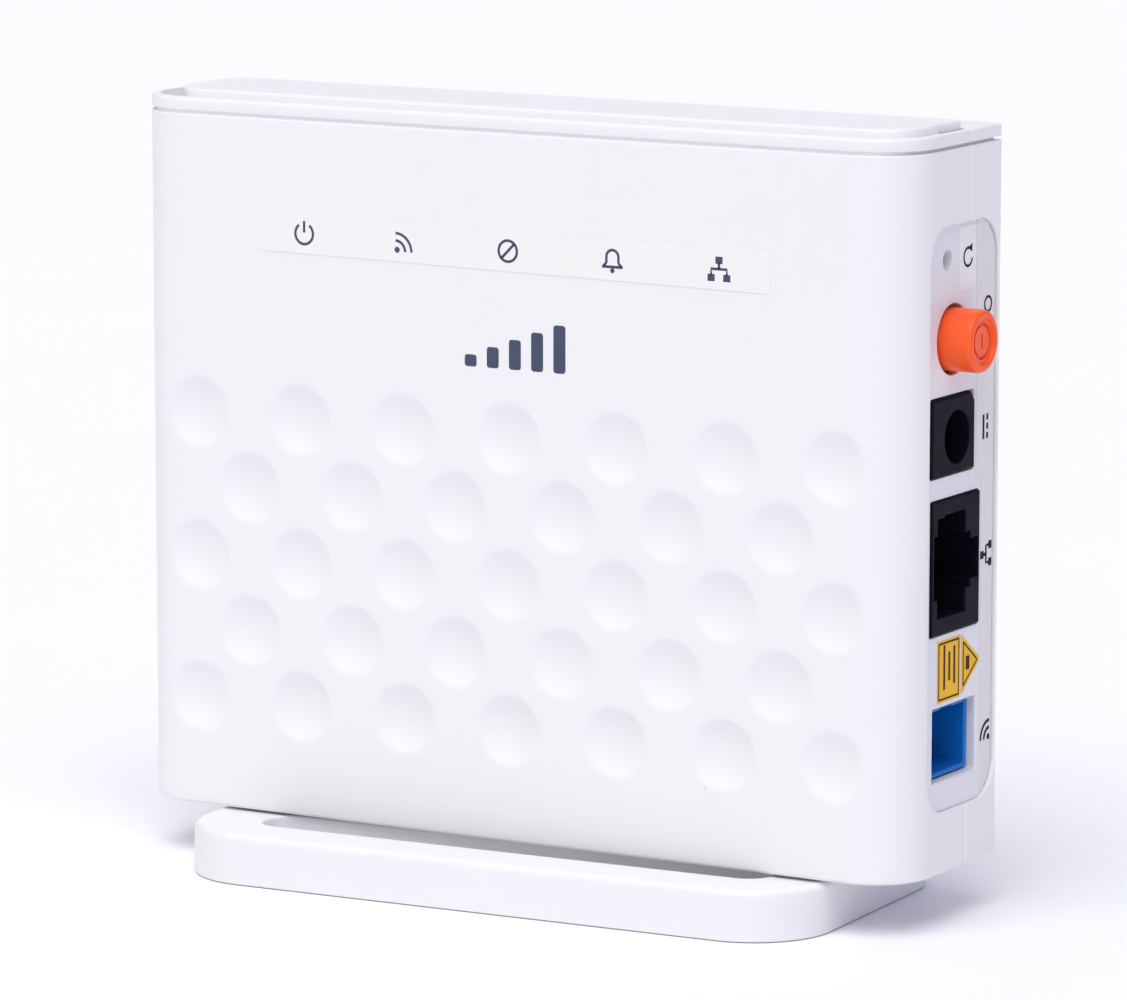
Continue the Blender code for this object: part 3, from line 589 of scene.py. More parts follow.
def press_dimples(bm):
    """Push the front face in to spherical caps whose rims are slightly rounded."""
    sphere = (DIMPLE_RADIUS ** 2 + DIMPLE_DEPTH ** 2) / (2 * DIMPLE_DEPTH)
    centres = list(dimple_centres())
    for vert in bm.verts:
        x, y, z = vert.co
        if y > FRONT + 4 or z > DIMPLE_TOP + 8:
            continue
        for cx, cz in centres:
            r2 = (x - cx) ** 2 + (z - cz) ** 2
            if r2 > (DIMPLE_RADIUS + 1) ** 2:
                continue
            cap = FRONT + math.sqrt(sphere ** 2 - r2) - (sphere - DIMPLE_DEPTH)
            share = min(1.0, max(0.0, 0.5 + 0.5 * (cap - y) / DIMPLE_SOFT))
            vert.co.y = y + (cap - y) * share + DIMPLE_SOFT * share * (1 - share)
            break


def cavity(side, radius):
    """Room inside a cover."""
    y_near, y_far = sorted((side * (REAR - WALL), -side * 30))
    outline = rounded((-SIDE + WALL, y_near), (SIDE - WALL, y_far), radius, 6)
    return prism("Z", outline, BOTTOM + WALL, CAVITY_TOP)


def cut_bay(obj):
    """Pocket behind the covers' walls, the window with its round outer edge, and the way between them."""
    pocket = [POCKET_LOW, (POCKET_HIGH[0], POCKET_LOW[1]), POCKET_HIGH, (POCKET_LOW[0], POCKET_HIGH[1])]
    shape = rounded_shape(BAY_LOW, BAY_HIGH, BAY_RADIUS, 12)
    throat = [(min(y, POCKET_HIGH[0] - 0.01), z) for y, z in shape(0)]
    cut(obj, prism("X", pocket, SIDE - 4, POCKET_SIDE))
    cut(obj, mouth("X", shape, BAY_FLOOR, SIDE, 0.22))
    cut(obj, prism("X", unique(throat), POCKET_SIDE - 0.5, BAY_FLOOR + 0.1))


def bay_edge_groove():
    """Narrow gap in the bay's floor along its rear wall."""
    outer = rounded(*grown(BAY_LOW, BAY_HIGH, 0.01), BAY_RADIUS, 12)
    inner = rounded(*grown(BAY_LOW, BAY_HIGH, -BAY_GAP), BAY_RADIUS - BAY_GAP, 12)
    rear = BAY_HIGH[0] - BAY_RADIUS
    outline = [p for p in outer if p[0] > rear - 0.001] + [p for p in inner if p[0] > rear - 0.001][::-1]
    return prism("X", outline, BAY_FLOOR - 0.5, BAY_FLOOR + 0.004)


def unique(points):
    kept = []
    for point in points:
        if point not in kept:
            kept.append(point)
    return kept


def platform_outline(inset):
    """Counter-clockwise, from the front right corner; ends just in front of the parting plane."""
    left, right = PLATFORM_LEFT + inset, PLATFORM_RIGHT - inset
    front, rear = PLATFORM_FRONT + inset, PARTING - SEAM - 0.02 - inset
    corners = (
        (right, front, -1, 1, PLATFORM_RADIUS, -90),
        (right, rear, -1, -1, 1.0, 0),
        (left, rear, 1, -1, 4.5, 90),
        (left, front, 1, 1, PLATFORM_RADIUS, 180),
    )
    points = []
    for x, y, to_x, to_y, radius, start in corners:
        radius -= inset
        points += arc_points(x + to_x * radius, y + to_y * radius, radius, start, start + 90, 14)
    return points


def platform():
    """Raised plate on the rim with round corners."""
    steps = [(RIM - 1.4, 0.0)] + [(PLATFORM_TOP - depth, growth) for depth, growth in fillet(0.4)]
    return loft([[(x, y, z) for x, y in platform_outline(inset)] for z, inset in steps])


def moat(low, high, radius):
    """Cutter of a trough beside the platform, with a round upper edge."""
    return mouth("Z", rounded_shape(low, high, radius, 12), RIM - MOAT_DEPTH, RIM, 0.12, steps=3)


def make_front_cover():
    open_y = PARTING - SEAM
    flat = SIDE - FRONT_RADIUS
    columns = [x / flat for x in spread(GRID / 2, flat, GRID)[::-1][1:]]
    rings = []
    for z, inset in wall_levels(dense=True):
        deep = cover_ring(-1, SIDE - inset, FRONT + inset, FRONT_RADIUS - inset, open_y, 20, columns, z)
        if abs(z - GROOVE_Z) < GROOVE_HALF:
            soft = GROOVE_SHALLOW
            shallow = cover_ring(-1, SIDE - soft, FRONT + soft, FRONT_RADIUS - soft, open_y, 20, columns, z)
            deep = blended(shallow, deep)
        rings.append(deep)
    bm = shell_loft(rings)
    press_dimples(bm)
    obj = mesh_object("front_cover_shell", bm)
    cut(obj, moat((MOAT_LEFT, MOAT_LEFT_FRONT), (PLATFORM_LEFT + 8, PARTING + 9), PLATFORM_RADIUS))
    cut(obj, moat((PLATFORM_RIGHT - 1, MOAT_RIGHT_FRONT), (MOAT_RIGHT, PARTING + 6), 0.15))
    add(obj, platform())
    notch = box_points(PLATFORM_RIGHT, MOAT_RIGHT_FRONT, NOTCH_HALF_X, NOTCH_HALF_Y)
    cut(obj, prism("Z", notch, RIM - NOTCH_DEPTH, PLATFORM_TOP + 1))
    cut(obj, cavity(-1, FRONT_RADIUS - WALL))
    cut_bay(obj)
    bosses = []
    for name in ("board_screw_1", "board_screw_2", "board_screw_3"):
        x, z = centre_xz(name)
        bosses.append(turned("Y", x, z, ((FRONT + 1.5, 2.8), (-6.7, 2.4), (-6.7, 1.3), (-9.8, 1.3)), 24))
    add(obj, *bosses)
    piece(obj, "front_cover_shell", SHELL, stands_for=("front_cover",))


def make_rear_cover():
    open_y = PARTING + SEAM
    columns = (0.6, 0.2)
    rings = []
    for z, inset in wall_levels(dense=False):
        rings.append(cover_ring(1, SIDE - inset, REAR - inset, max(REAR_RADIUS - inset, 0.25),
                                open_y, 8, columns, z))
    rings.append(cover_ring(1, SIDE - 1.2, REAR - 1.2, 0.25, open_y, 8, columns, RIM))
    obj = mesh_object("rear_cover_shell", shell_loft(rings))
    cut(obj, cavity(1, 1.0))
    cut_bay(obj)
    bosses = []
    wells = []
    for name in ("case_screw_1", "case_screw_2"):
        x, z = centre_xz(name)
        bosses.append(turned("Y", x, z, ((open_y, WELL_BOSS), (REAR - WALL + 0.5, WELL_BOSS)), 40))
        wells.append(mouth("Y", circle_shape(x, z, WELL_RADIUS), WELL_FLOOR, REAR, 0.3))
    add(obj, *bosses)
    cut(obj, *wells)
    cut(obj, *vents())
    cut_keyholes(obj)
    cut(obj, bay_edge_groove())
    piece(obj, "rear_cover_shell", SHELL, stands_for=("rear_cover",))


def vents():
    """Cutters of the two bands of vents."""
    cutters = []
    for low, high in VENT_BANDS:
        for i in range(VENT_COUNT):
            x = (i - VENT_COUNT // 2) * VENT_PITCH - VENT_SHIFT
            shape = rounded_shape((x - VENT_HALF, low), (x + VENT_HALF, high), VENT_HALF - 0.01, 6)
            cutters.append(mouth("Y", shape, REAR - WALL - 1, REAR, 0.25, steps=3))
    return cutters


def cut_keyholes(obj):
    """Two keyholes for wall screws: a round hole, and the slot above it."""
    inner = REAR - WALL - 1
    for x in (-KEYHOLE_SIDE, KEYHOLE_SIDE):
        low, high = (x - KEYHOLE_SLOT, KEYHOLE_SLOT_LOW), (x + KEYHOLE_SLOT, KEYHOLE_SLOT_HIGH)
        cut(obj, mouth("Y", circle_shape(x, KEYHOLE_Z, KEYHOLE_RADIUS), inner, REAR, 0.25))
        cut(obj, mouth("Y", rounded_shape(low, high, KEYHOLE_SLOT - 0.01, 8), inner, REAR, 0.25))


# ---- port panel

def port_window(node, gap=0.12):
    low, high = node_box(node)
    return (low.y - gap, low.z - gap), (high.y + gap, high.z + gap)


def make_port_panel():
    gap = 0.06
    face = rounded(*grown(BAY_LOW, BAY_HIGH, -gap), BAY_RADIUS - gap, 12)
    rear = POCKET_HIGH[0] - gap
    face = unique([(min(y, rear), z) for y, z in face])
    obj = mesh_object("port_panel_plate", prism("X", face, PANEL_LOW.x, BAY_FLOOR))
    flange = grown(POCKET_LOW, POCKET_HIGH, -0.2)
    add(obj, prism("X", rounded(*flange, 0.5, 3), PANEL_LOW.x + 0.01, POCKET_SIDE - 0.1))
    reset_y, reset_z = centre_yz("reset_plunger")
    button_y, button_z = centre_yz("power_button_cap")
    deep = PANEL_LOW.x - 1
    dc_low, dc_high = port_window("dc_jack_body")
    lan_low, lan_high = port_window("lan_jack_body")
    fibre_low, fibre_high = port_window("fibre_adapter", 0.25)
    cut(
        obj,
        mouth("X", circle_shape(reset_y, reset_z, 1.2), deep, BAY_FLOOR, 0.12),
        mouth("X", circle_shape(button_y, button_z, 4.1, 64), deep, BAY_FLOOR, 0.15),
        mouth("X", rounded_shape(dc_low, dc_high, 0.3, 4), deep, BAY_FLOOR, 0.12),
        mouth("X", rounded_shape(lan_low, lan_high, 0.25, 4), deep, BAY_FLOOR, 0.12),
        mouth("X", rounded_shape(fibre_low, fibre_high, 0.3, 4), deep, BAY_FLOOR, 0.3),
    )
    piece(obj, "port_panel_plate", PANEL, stands_for=("port_panel",))


# ---- ports

DC_CHAMFER, DC_BORE, DC_BORE_FLOOR = 1.0, 3.1, 41.5
DC_HOLE, DC_SHOULDER = 1.4, 41.9         # hole for the pin's foot, and where the pin widens
DC_PIN, DC_FOOT, DC_TIP = 1.0, 0.7, 0.8


def make_dc_jack():
    low, high = node_box("dc_jack_body")
    y, z = centre_yz("dc_jack_pin")

    def shape(grow):
        y0, z0, y1, z1 = low.y - grow, low.z - grow, high.y + grow, high.z + grow
        return [(y0, z0), (y1, z0), (y1, z1 - DC_CHAMFER), (y1 - DC_CHAMFER, z1), (y0, z1)]

    obj = mesh_object("dc_jack_housing", block("X", shape, low.x, high.x, 0.35, 0.1))
    cut(obj, mouth("X", circle_shape(y, z, DC_BORE, 64), DC_BORE_FLOOR, high.x, 0.12))
    cut(obj, turned("X", y, z, ((low.x - 1, DC_HOLE), (DC_BORE_FLOOR + 0.5, DC_HOLE)), 32))
    piece(obj, "dc_jack_housing", BLACK, stands_for=("dc_jack_body",))

    low, high = node_box("dc_jack_pin")
    tip = high.x - DC_TIP
    profile = [(low.x, DC_FOOT - 0.2), (low.x + 0.2, DC_FOOT), (DC_SHOULDER, DC_FOOT),
               (DC_SHOULDER, DC_PIN), (tip, DC_PIN), *dome(tip, DC_TIP, 0.45, 0.55, (25, 50, 75, 90))]
    piece(turned("X", y, z, profile), "dc_pin", STEEL, stands_for=("dc_jack_pin",))


# Corners of the network jack's stepped mouth, from its top front corner: contact side to the front,
# latch side to the rear.
LAN_STEPS = (
    (0.55, 4.0), (0.55, 11.4), (1.4, 11.4), (1.4, 13.6), (8.3, 13.6), (8.3, 10.9), (9.6, 10.9), (9.6, 10.0),
    (11.55, 10.0), (11.55, 5.4), (9.6, 5.4), (9.6, 4.5), (8.3, 4.5), (8.3, 1.8), (3.1, 1.8), (3.1, 2.05),
    (1.4, 2.05), (1.4, 4.0),
)


def offset_outline(points, by):
    """Counter-clockwise outline moved out by a distance along both neighbouring edges."""
    count = len(points)
    area = sum(points[i][0] * points[(i + 1) % count][1] - points[(i + 1) % count][0] * points[i][1]
               for i in range(count))
    sign = 1 if area > 0 else -1
    moved = []
    for i in range(count):
        before, here, after = Vector(points[i - 1]), Vector(points[i]), Vector(points[(i + 1) % count])
        one, two = (here - before).normalized(), (after - here).normalized()
        n1, n2 = Vector((one.y, -one.x)) * sign, Vector((two.y, -two.x)) * sign
        shift = (n1 + n2) / max(0.2, 1 + n1.dot(n2))
        moved.append(tuple(here + shift * by))
    return moved


LAN_FLOOR = 38.5
WIRE_COUNT, WIRE_PITCH, WIRE_HALF_Y, WIRE_HALF_Z, WIRE_MIDDLE = 8, 0.88, 0.14, 0.17, 7.7


def make_lan_jack():
    low, high = node_box("lan_jack_body")
    obj = mesh_object("lan_jack_housing", block("X", rounded_shape((low.y, low.z), (high.y, high.z), 0.2, 3),
                                                low.x, high.x, 0.2, 0.1))
    opening = [(low.y + back, high.z - down) for back, down in LAN_STEPS]
    cut(obj, mouth("X", lambda grow: offset_outline(opening, grow), LAN_FLOOR, high.x, 0.15, steps=2))
    rails = []
    for z in (high.z - 3.1, high.z - 12.6):
        rails.append(prism("X", box_points(low.y + 2.45, z, 0.45, 0.35), LAN_FLOOR - 0.5, high.x - 2.5))
    add(obj, *rails)
    piece(obj, "lan_jack_housing", BLACK, stands_for=("lan_jack_body",))

    middle = high.z - WIRE_MIDDLE
    path = [(39.0, 2.45), (42.0, 1.1), (45.5, -0.65), (48.3, -2.15), (49.1, -2.6), (49.7, -2.62)]
    wires = []
    for i in range(WIRE_COUNT):
        z = middle + (i - (WIRE_COUNT - 1) / 2) * WIRE_PITCH
        low_z, high_z = z - WIRE_HALF_Z, z + WIRE_HALF_Z
        rings = []
        for x, y in path:
            near, far = y - WIRE_HALF_Y, y + WIRE_HALF_Y
            rings.append([(x, near, low_z), (x, near, high_z), (x, far, high_z), (x, far, low_z)])
        wires.append(loft(rings))
    piece(join(wires), "lan_contacts", GOLD, stands_for=("lan_contact_comb",))


def make_fibre_adapter():
    low, high = node_box("fibre_adapter")
    y, z = centre_yz("fibre_adapter")
    shape = rounded_shape((low.y, low.z), (high.y, high.z), 0.3, 4)
    obj = mesh_object("fibre_adapter_housing", block("X", shape, low.x, high.x, 0.15, 0.2))
    inner_low, inner_high = grown((low.y, low.z), (high.y, high.z), -0.5)
    cut(obj, mouth("X", rounded_shape(inner_low, inner_high, 0.2, 3), 36.0, high.x, 0.3, steps=3))
    cut(obj, prism("X", box_points(y, high.z - 0.525, 1.6, 0.275), 38.0, high.x + 1))
    ledges = []
    for side in (-1, 1):
        edge_y = y + side * (inner_high[0] - inner_low[0]) / 2
        near, far = sorted((edge_y + side * 0.2, edge_y - side * 0.55))
        ledges.append(prism("X", box_points((near + far) / 2, z, (far - near) / 2, 2.2), 36.5, 45.5))
    add(obj, *ledges)
    section = ((35.5, 3.2), (37.5, 3.2), (38.5, 2.6), (41.5, 2.4), (41.5, 1.75), (35.5, 1.75))
    add(obj, turned("X", y, z, section, 40, closed=False))
    piece(obj, "fibre_adapter_housing", BLUE, stands_for=("fibre_adapter",))

    low, high = node_box("alignment_sleeve")
    profile = ((low.x, 1.58), (high.x - 0.15, 1.58), (high.x, 1.45), (high.x, 1.36), (high.x - 0.12, 1.25),
               (low.x, 1.25))
    piece(turned("X", y, z, profile, 40, closed=False), "ferrule_sleeve", CERAMIC,
          stands_for=("alignment_sleeve",))


BUTTON_RIM, BUTTON_DISH = 2.75, 0.40
MARK_OUTER, MARK_INNER, MARK_BAR, MARK_DEPTH = 2.15, 1.75, 0.9, 0.3      # engraved ring and bar
SOCKET_HALF, SOCKET_END = 1.75, 53.0


def make_power_button():
    low, high = node_box("power_button_cap")
    y, z = centre_yz("power_button_cap")
    radius = (high.y - low.y) / 2
    face = high.x
    profile = [(low.x, radius - 0.35), (low.x + 0.2, radius - 0.05), (low.x + 0.5, radius)]
    profile += [(face - 0.62, radius), *dome(face - 0.62, 0.62, radius - 0.55, 0.55, (15, 35, 55, 75, 90))]
    floor = face - BUTTON_DISH
    rim = BUTTON_RIM
    profile += [(face, rim + 0.12), (face - 0.05, rim), (floor + 0.06, rim - 0.12), (floor, rim - 0.3)]
    obj = mesh_object("button_cap", turned("X", y, z, profile, 96))
    half = SOCKET_HALF
    socket = rounded((y - half, z - half), (y + half, z + half), 0.2, 2)
    cut(obj, prism("X", socket, low.x - 1, SOCKET_END))
    deep, clear = floor - MARK_DEPTH, floor + 0.5
    section = ((deep, MARK_OUTER), (clear, MARK_OUTER), (clear, MARK_INNER), (deep, MARK_INNER))
    cut(obj, turned("X", y, z, section, 64, closed=False))
    cut(obj, stroke("X", [(y, z - MARK_BAR), (y, z + MARK_BAR)], MARK_OUTER - MARK_INNER, deep, clear))
    piece(obj, "button_cap", ORANGE, "power_button", ("power_button_cap",))


def make_reset():
    low, high = node_box("reset_plunger")
    y, z = centre_yz("reset_plunger")
    radius = (high.y - low.y) / 2
    soft = 0.4
    profile = [(low.x, radius - 0.1), (low.x + 0.1, radius), (high.x - soft, radius)]
    profile += dome(high.x - soft, soft, radius - soft, soft, (30, 60, 90))
    stem = turned("X", y, z, profile, 40)
    piece(stem, "reset_stem", GREY, "reset_button", ("reset_plunger",))


HEAD_LOW, HEAD_EDGE, CROSS_LONG, CROSS_THIN = 7.5, 8.2, 1.3, 0.26


def make_case_screws():
    """Pan-head screws with a cross recess, at the bottom of their wells."""
    for i in (1, 2):
        name = f"case_screw_{i}"
        low, high = node_box(name)
        x, z = centre_xz(name)
        radius = (high.x - low.x) / 2
        profile = [(low.y, 0.6), (low.y + 0.6, 0.95), (HEAD_LOW, 1.2), (HEAD_LOW, radius - 0.1),
                   (HEAD_LOW + 0.1, radius), (HEAD_EDGE, radius)]
        profile += dome(HEAD_EDGE, high.y - HEAD_EDGE, radius * 0.35, radius * 0.65, (30, 55, 75))
        profile.append((high.y, radius * 0.2))
        obj = mesh_object(f"cover_screw_{i}", turned("Y", x, z, profile, 40))
        for half_x, half_z in ((CROSS_LONG, CROSS_THIN), (CROSS_THIN, CROSS_LONG)):
            bar = rounded((x - half_x, z - half_z), (x + half_x, z + half_z), 0.2, 3)
            cut(obj, prism("Y", bar, HEAD_EDGE, high.y + 1))
        piece(obj, f"cover_screw_{i}", STEEL, stands_for=(name,))


# ---- labels and marks

def stroke(axis, points, width, low, high):
    """Thick line through (u, v) points as a flat-ended solid."""
    left, right = [], []
    for i, here in enumerate(points):
        before, after = points[max(i - 1, 0)], points[min(i + 1, len(points) - 1)]
        along = Vector((after[0] - before[0], after[1] - before[1])).normalized()
        normal = Vector((-along.y, along.x)) * width / 2
        left.append((here[0] + normal.x, here[1] + normal.y))
        right.append((here[0] - normal.x, here[1] - normal.y))
    return prism(axis, left + right[::-1], low, high)


def sheet(axis, outline, face, outward, name, mat, node, thick=0.05):
    """Thin label on a surface; face is the surface's place along the axis."""
    low, high = sorted((face + outward * 0.005, face + outward * (0.005 + thick)))
    return piece(prism(axis, outline, low, high), name, mat, stands_for=(node,), weighted=False)


def scaled(points, u, v, size, quarter=False):
    """Icon points, drawn in a square of -1 to 1, put at (u, v); quarter turns them by 90 degrees."""
    if quarter:
        points = [(-b, a) for a, b in points]
    return [(u + size * a, v + size * b) for a, b in points]


def arc_points(u, v, radius, start, end, steps=14):
    points = []
    for i in range(steps + 1):
        a = math.radians(start + (end - start) * i / steps)
        points.append((u + radius * math.cos(a), v + radius * math.sin(a)))
    return points


def box_points(u, v, half_u, half_v):
    signs = ((-1, -1), (1, -1), (1, 1), (-1, 1))
    return [(u + a * half_u, v + b * half_v) for a, b in signs]


# Each icon is a list of ("line", points) and ("area", outline) in a square of -1 to 1.
ICONS = {
    "power": [("line", arc_points(0, 0, 0.85, 125, 415, 26)), ("line", [(0, 0.1), (0, 1.05)])],
    "waves": [("line", arc_points(-0.9, -0.8, 0.9, 0, 90)), ("line", arc_points(-0.9, -0.8, 1.5, 0, 90)),
              ("area", circle(-0.75, -0.65, 0.25, 16))],
    "loss": [("line", arc_points(0, 0, 0.85, 0, 360, 30)), ("line", [(-0.6, -0.6), (0.6, 0.6)])],
    "bell": [("line", [(-0.8, -0.5), (-0.55, -0.2), *arc_points(0, 0.25, 0.55, 180, 0), (0.55, -0.2),
                       (0.8, -0.5)]),
             ("line", [(-0.95, -0.55), (0.95, -0.55)]), ("area", circle(0, -0.85, 0.2, 12))],
    "network": [("area", box_points(0, 0.7, 0.32, 0.28)), ("area", box_points(-0.7, -0.7, 0.32, 0.28)),
                ("area", box_points(0.7, -0.7, 0.32, 0.28)), ("line", [(0, 0.5), (0, 0.0)]),
                ("line", [(-0.7, -0.5), (-0.7, 0.0), (0.7, 0.0), (0.7, -0.5)])],
    "direct": [("line", [(-0.9, 0.35), (0.9, 0.35)]), ("line", [(-0.9, -0.25), (-0.45, -0.25)]),
               ("line", [(-0.22, -0.25), (0.22, -0.25)]), ("line", [(0.45, -0.25), (0.9, -0.25)])],
    "again": [("line", arc_points(0, 0, 0.75, 60, 350, 24)),
              ("area", [(0.1, 0.75), (0.75, 1.1), (0.7, 0.35)])],
    "ring": [("line", arc_points(0, 0, 0.75, 0, 360, 30))],
    "bar": [("line", [(0, -0.8), (0, 0.8)])],
}


def icon(axis, name, u, v, size, low, high, weight=0.22, quarter=False):
    solids = []
    for kind, points in ICONS[name]:
        placed = scaled(points, u, v, size, quarter)
        if kind == "line":
            solids.append(stroke(axis, placed, weight * size, low, high))
        else:
            solids.append(prism(axis, placed, low, high))
    return solids


LABEL_TILT, LABEL_HALF_X, LABEL_HALF_Z, LABEL_MARK, LABEL_PITCH = -0.6, 34.6, 2.35, 1.45, 14.0
EMBLEM_LEFT, EMBLEM_LOW, EMBLEM_PITCH, EMBLEM_HALF, EMBLEM_RISE = -4.6, 62.5, 3.0, 0.8, 1.05


def make_front_label():
    centre = Vector(centre_xz("indicator_label"))
    turn = Matrix.Rotation(math.radians(LABEL_TILT), 2)

    def tilted(points):
        return [tuple(centre + turn @ (Vector(p) - centre)) for p in points]

    half = Vector((LABEL_HALF_X, LABEL_HALF_Z))
    outline = rounded(centre - half, centre + half, 0.25, 3)
    sheet("Y", tilted(outline), FRONT, -1, "indicator_strip", STICKER, "indicator_label", 0.07)
    marks = []
    for i, name in enumerate(("power", "waves", "loss", "bell", "network")):
        x, z = tilted([(centre.x + (i - 2) * LABEL_PITCH, centre.y)])[0]
        marks += icon("Y", name, x, z, LABEL_MARK, FRONT - 0.09, FRONT - 0.072)
    piece(join(marks), "indicator_marks", INK, weighted=False)


def make_emblem():
    """Plain row of rising bars, printed below the strip."""
    solids = []
    for i in range(5):
        x = EMBLEM_LEFT + i * EMBLEM_PITCH
        top = EMBLEM_LOW + 1.4 + EMBLEM_RISE * i
        outline = rounded((x - EMBLEM_HALF, EMBLEM_LOW), (x + EMBLEM_HALF, top), 0.35, 4)
        solids.append(prism("Y", outline, FRONT - 0.03, FRONT - 0.005))
    piece(join(solids), "front_emblem", INK, weighted=False)


def make_bay_labels():
    strip = []
    radius = BAY_RADIUS - 0.3
    for z, start, end in ((BAY_LOW[1] + BAY_RADIUS, -70, 0), (BAY_HIGH[1] - BAY_RADIUS, 0, 90)):
        strip += arc_points(BAY_HIGH[0] - BAY_RADIUS, z, radius, start, end, 10)
    strip += [(6.5, BAY_HIGH[1] - 0.3), (6.9, 51.2), (8.12, 51.2)]
    sheet("X", strip, BAY_FLOOR, 1, "port_strip", STRIP, "port_label")

    low, high = node_box("reset_label")
    outline = rounded((low.y, low.z), (high.y, high.z), 0.2, 3)
    sheet("X", outline, BAY_FLOOR, 1, "reset_sticker", STICKER, "reset_label", 0.06)

    low, high = node_box("amber_label_square")
    square = rounded((low.y, low.z), (high.y, high.z), 0.15, 3)
    sheet("X", square, BAY_FLOOR, 1, "amber_square", AMBER, "amber_label_square")
    low3, high3 = node_box("amber_label_triangle")
    tip = (low3.z + high3.z) / 2
    corners = [(low3.y, low3.z), (high3.y, tip - 0.3), (high3.y, tip + 0.3), (low3.y, high3.z)]
    sheet("X", corners, BAY_FLOOR, 1, "amber_triangle", AMBER, "amber_label_triangle")

    ink = (BAY_FLOOR + 0.057, BAY_FLOOR + 0.072)
    border = box_points((low.y + high.y) / 2, (low.z + high.z) / 2, (high.y - low.y) / 2 - 0.35,
                        (high.z - low.z) / 2 - 0.35)
    inner = offset_outline(corners, -0.5)
    lines = [stroke("X", [a, b], 0.22, *ink) for a, b in zip(border, border[1:] + border[:1])]
    lines += [stroke("X", [a, b], 0.22, *ink) for a, b in zip(inner, inner[1:] + inner[:1])]
    for share, length in ((0.3, 2.6), (0.52, 1.7), (0.74, 2.2)):
        y, z = low.y + share * (high.y - low.y), (low.z + high.z) / 2 + 0.4
        lines.append(stroke("X", [(y, z - length), (y, z + length)], 0.45, *ink))
    lines.append(stroke("X", [(low3.y + 1.6, tip - 0.8), (low3.y + 1.6, tip + 0.8)], 0.9, *ink))
    piece(join(lines), "amber_marks", BROWN_INK, weighted=False)

    marks = []
    places = (("ring", 9.5, 71.2, 1.15), ("bar", 9.5, 64.4, 1.0), ("direct", 9.2, 57.0, 1.6),
              ("network", 9.6, 42.0, 1.45), ("waves", 9.7, 21.4, 1.45))
    for name, y, z, size in places:
        marks += icon("X", name, y, z, size, *ink, weight=0.28, quarter=True)
    y, z = centre_yz("reset_label")
    marks += icon("X", "again", y, z, 1.4, ink[0] + 0.012, ink[1] + 0.012)
    piece(join(marks), "port_marks", BLACK_INK, weighted=False)


# ---- stand

STAND_LEFT, STAND_RIGHT, STAND_HALF, STAND_RADIUS = -41.3, 41.8, 22.3, 10.0
SLOT_LEFT, SLOT_RIGHT, SLOT_OUTER, SLOT_INNER, SLOT_RADIUS = -32.7, 34.4, 15.6, 9.5, 3.0
HUB_STEPS = ((4.3, 1, 8.7), (1.9, 0, 6.8))      # floor, height past the top and radius of the hub's wells
stand_shape = rounded_shape((STAND_LEFT, -STAND_HALF), (STAND_RIGHT, STAND_HALF), STAND_RADIUS, 20)


def make_stand():
    low, high = node_box("stand_base")
    top, bottom = high.z, low.z
    rings = [(bottom, -0.5)]
    rings += [(bottom + depth, -growth) for depth, growth in reversed(fillet(0.2, 4))]
    rings += [(bottom + 0.9, -0.01), (top - 1.3, -0.06)]
    rings += [(top - depth, -0.08 - growth) for depth, growth in fillet(0.85, 7)]
    rings.append((top, -1.5))
    obj = mesh_object("stand_shell", loft([[(x, y, z) for x, y in stand_shape(g)] for z, g in rings]))
    slots = []
    for side in (-1, 1):
        near, far = sorted((side * SLOT_INNER, side * SLOT_OUTER))
        shape = rounded_shape((SLOT_LEFT, near), (SLOT_RIGHT, far), SLOT_RADIUS, 10)
        slots.append(mouth("Z", shape, bottom - 1, top, 0.35, back=bottom, steps=5))
    cut(obj, *slots)
    for floor, roof, radius in HUB_STEPS:
        cut(obj, turned("Z", 0, 0, ((floor, radius), (top + roof, radius)), 64))
    piece(obj, "stand_shell", STAND, "stand", ("stand_base",), turn=STAND_TURN)


# ---- floor and light

WORLD_BRIGHT, WORLD_DIM, WORLD_BACKDROP = (0.62, 0.615, 0.61), (0.04, 0.045, 0.24), (1.01, 1.01, 1.02)
WORLD_FRONT = (-0.40, -0.66, 0.64)      # direction of the brightest part of the studio
FLOOR_HALF, FLOOR_GAP = 6000, 0.1
CAMERA_AZIMUTH, CAMERA_ELEVATION, CAMERA_DISTANCE = 30.38, 9.32, 0.767     # distance in metres
CAMERA_AIM, CAMERA_SENSOR, CAMERA_LENS = (5.1, -7.15, 46.8), 36.0, 209.5
# name, azimuth, elevation, softness in degrees, strength, colour
LIGHTS = (
    ("key", 15, 62, 50, 1.86, (1.0, 0.995, 0.985)),
    ("fill", 72, 8, 40, 0.26, (0.84, 0.86, 1.0)),
    ("back", 205, 35, 60, 0.42, (0.95, 0.97, 1.0)),
)


def make_stage():
    bm = bmesh.new()
    bmesh.ops.create_grid(bm, x_segments=1, y_segments=1, size=FLOOR_HALF)
    floor = mesh_object("floor", bm)
    floor.data.transform(Matrix.Scale(MM, 4))
    floor.location.z = -FLOOR_GAP * MM
    s = Shader("floor_paper")
    s.colour(s.mix(s.noise(60.0, 3.0), (0.93, 0.93, 0.965), (0.945, 0.945, 0.98)))
    s.set(Roughness=0.9)
    floor.data.materials.append(s.mat)


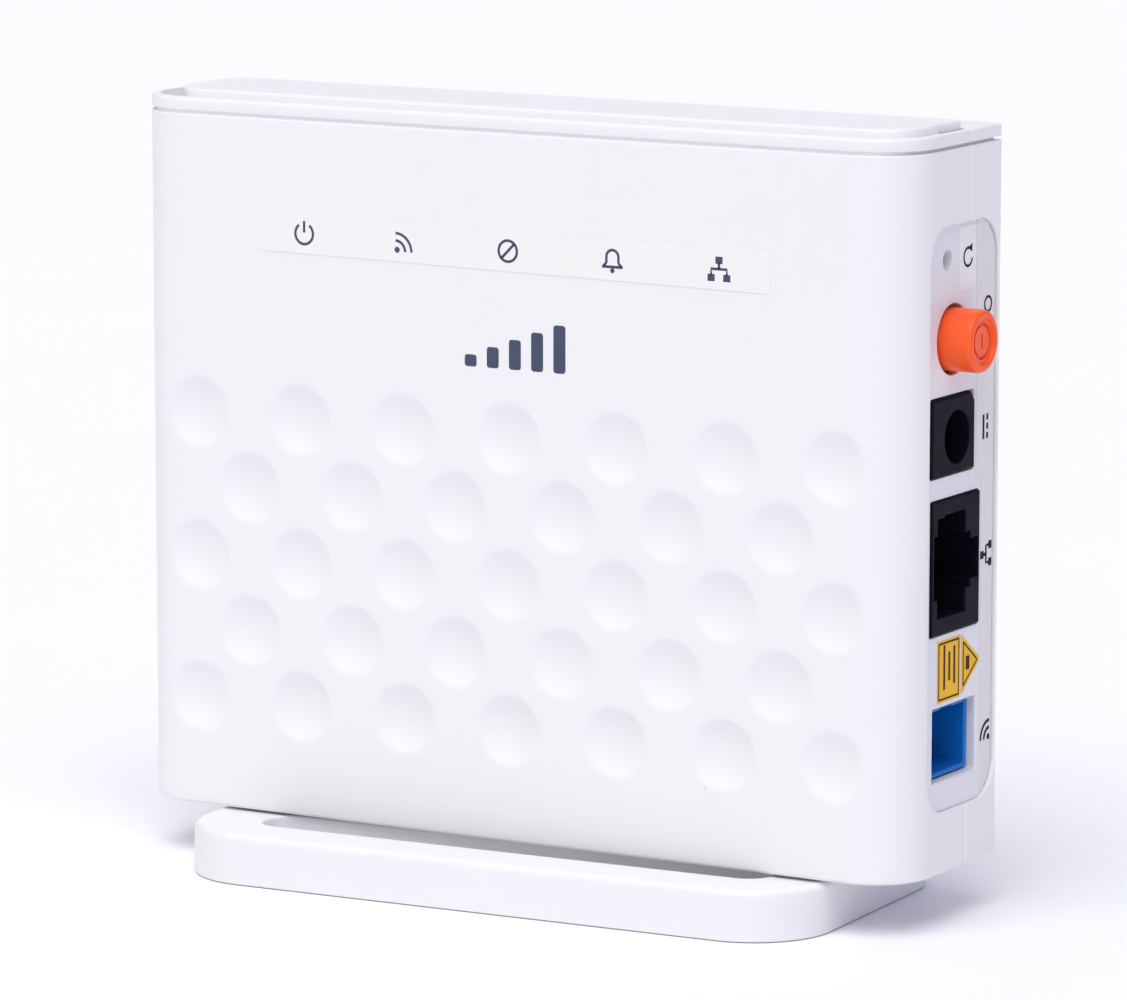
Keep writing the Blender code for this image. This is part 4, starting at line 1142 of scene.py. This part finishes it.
def make_world():
    """Studio light from all round, weaker and bluer towards the back; the camera sees white."""
    world = bpy.data.worlds.new("studio")
    bpy.context.scene.world = world
    world.use_nodes = True
    tree = world.node_tree
    place = tree.nodes.new("ShaderNodeTexCoord")
    along = tree.nodes.new("ShaderNodeVectorMath")
    along.operation = "DOT_PRODUCT"
    along.inputs[1].default_value = WORLD_FRONT
    ramp = tree.nodes.new("ShaderNodeMapRange")
    ramp.inputs["From Min"].default_value = -1.0
    ramp.inputs["From Max"].default_value = 1.0
    tree.links.new(place.outputs["Generated"], along.inputs[0])
    tree.links.new(along.outputs["Value"], ramp.inputs["Value"])
    studio = mix_colours(tree, ramp.outputs["Result"], WORLD_DIM, WORLD_BRIGHT)
    camera_ray = tree.nodes.new("ShaderNodeLightPath").outputs["Is Camera Ray"]
    seen = mix_colours(tree, camera_ray, studio, WORLD_BACKDROP)
    tree.links.new(seen, tree.nodes["Background"].inputs["Color"])


def direction(azimuth, elevation):
    """Unit vector towards a light or camera; azimuth 0 is in front of the object."""
    around, up = math.radians(azimuth), math.radians(elevation)
    return Vector((math.sin(around) * math.cos(up), -math.cos(around) * math.cos(up), math.sin(up)))


def make_lights():
    for name, azimuth, elevation, softness, strength, colour in LIGHTS:
        data = bpy.data.lights.new(name, "SUN")
        data.energy = strength
        data.angle = math.radians(softness)
        data.color = colour
        light = bpy.data.objects.new(name, data)
        light.rotation_euler = direction(azimuth, elevation).to_track_quat("Z", "Y").to_euler()
        bpy.context.scene.collection.objects.link(light)


def make_camera():
    back = direction(CAMERA_AZIMUTH, CAMERA_ELEVATION)
    data = bpy.data.cameras.new("camera")
    data.sensor_width = CAMERA_SENSOR
    data.lens = CAMERA_LENS
    data.clip_start, data.clip_end = 0.01, 50.0
    camera = bpy.data.objects.new("camera", data)
    camera.location = Vector(CAMERA_AIM) * MM + back * CAMERA_DISTANCE
    camera.rotation_euler = (-back).to_track_quat("-Z", "Y").to_euler()
    bpy.context.scene.collection.objects.link(camera)
    bpy.context.scene.camera = camera


def main():
    paint_cad_nodes()
    make_front_cover()
    make_rear_cover()
    make_port_panel()
    make_dc_jack()
    make_lan_jack()
    make_fibre_adapter()
    make_power_button()
    make_reset()
    make_case_screws()
    make_front_label()
    make_emblem()
    make_bay_labels()
    make_stand()
    make_stage()
    make_world()
    make_lights()
    make_camera()
    bpy.context.scene.view_settings.view_transform = "Standard"


main()
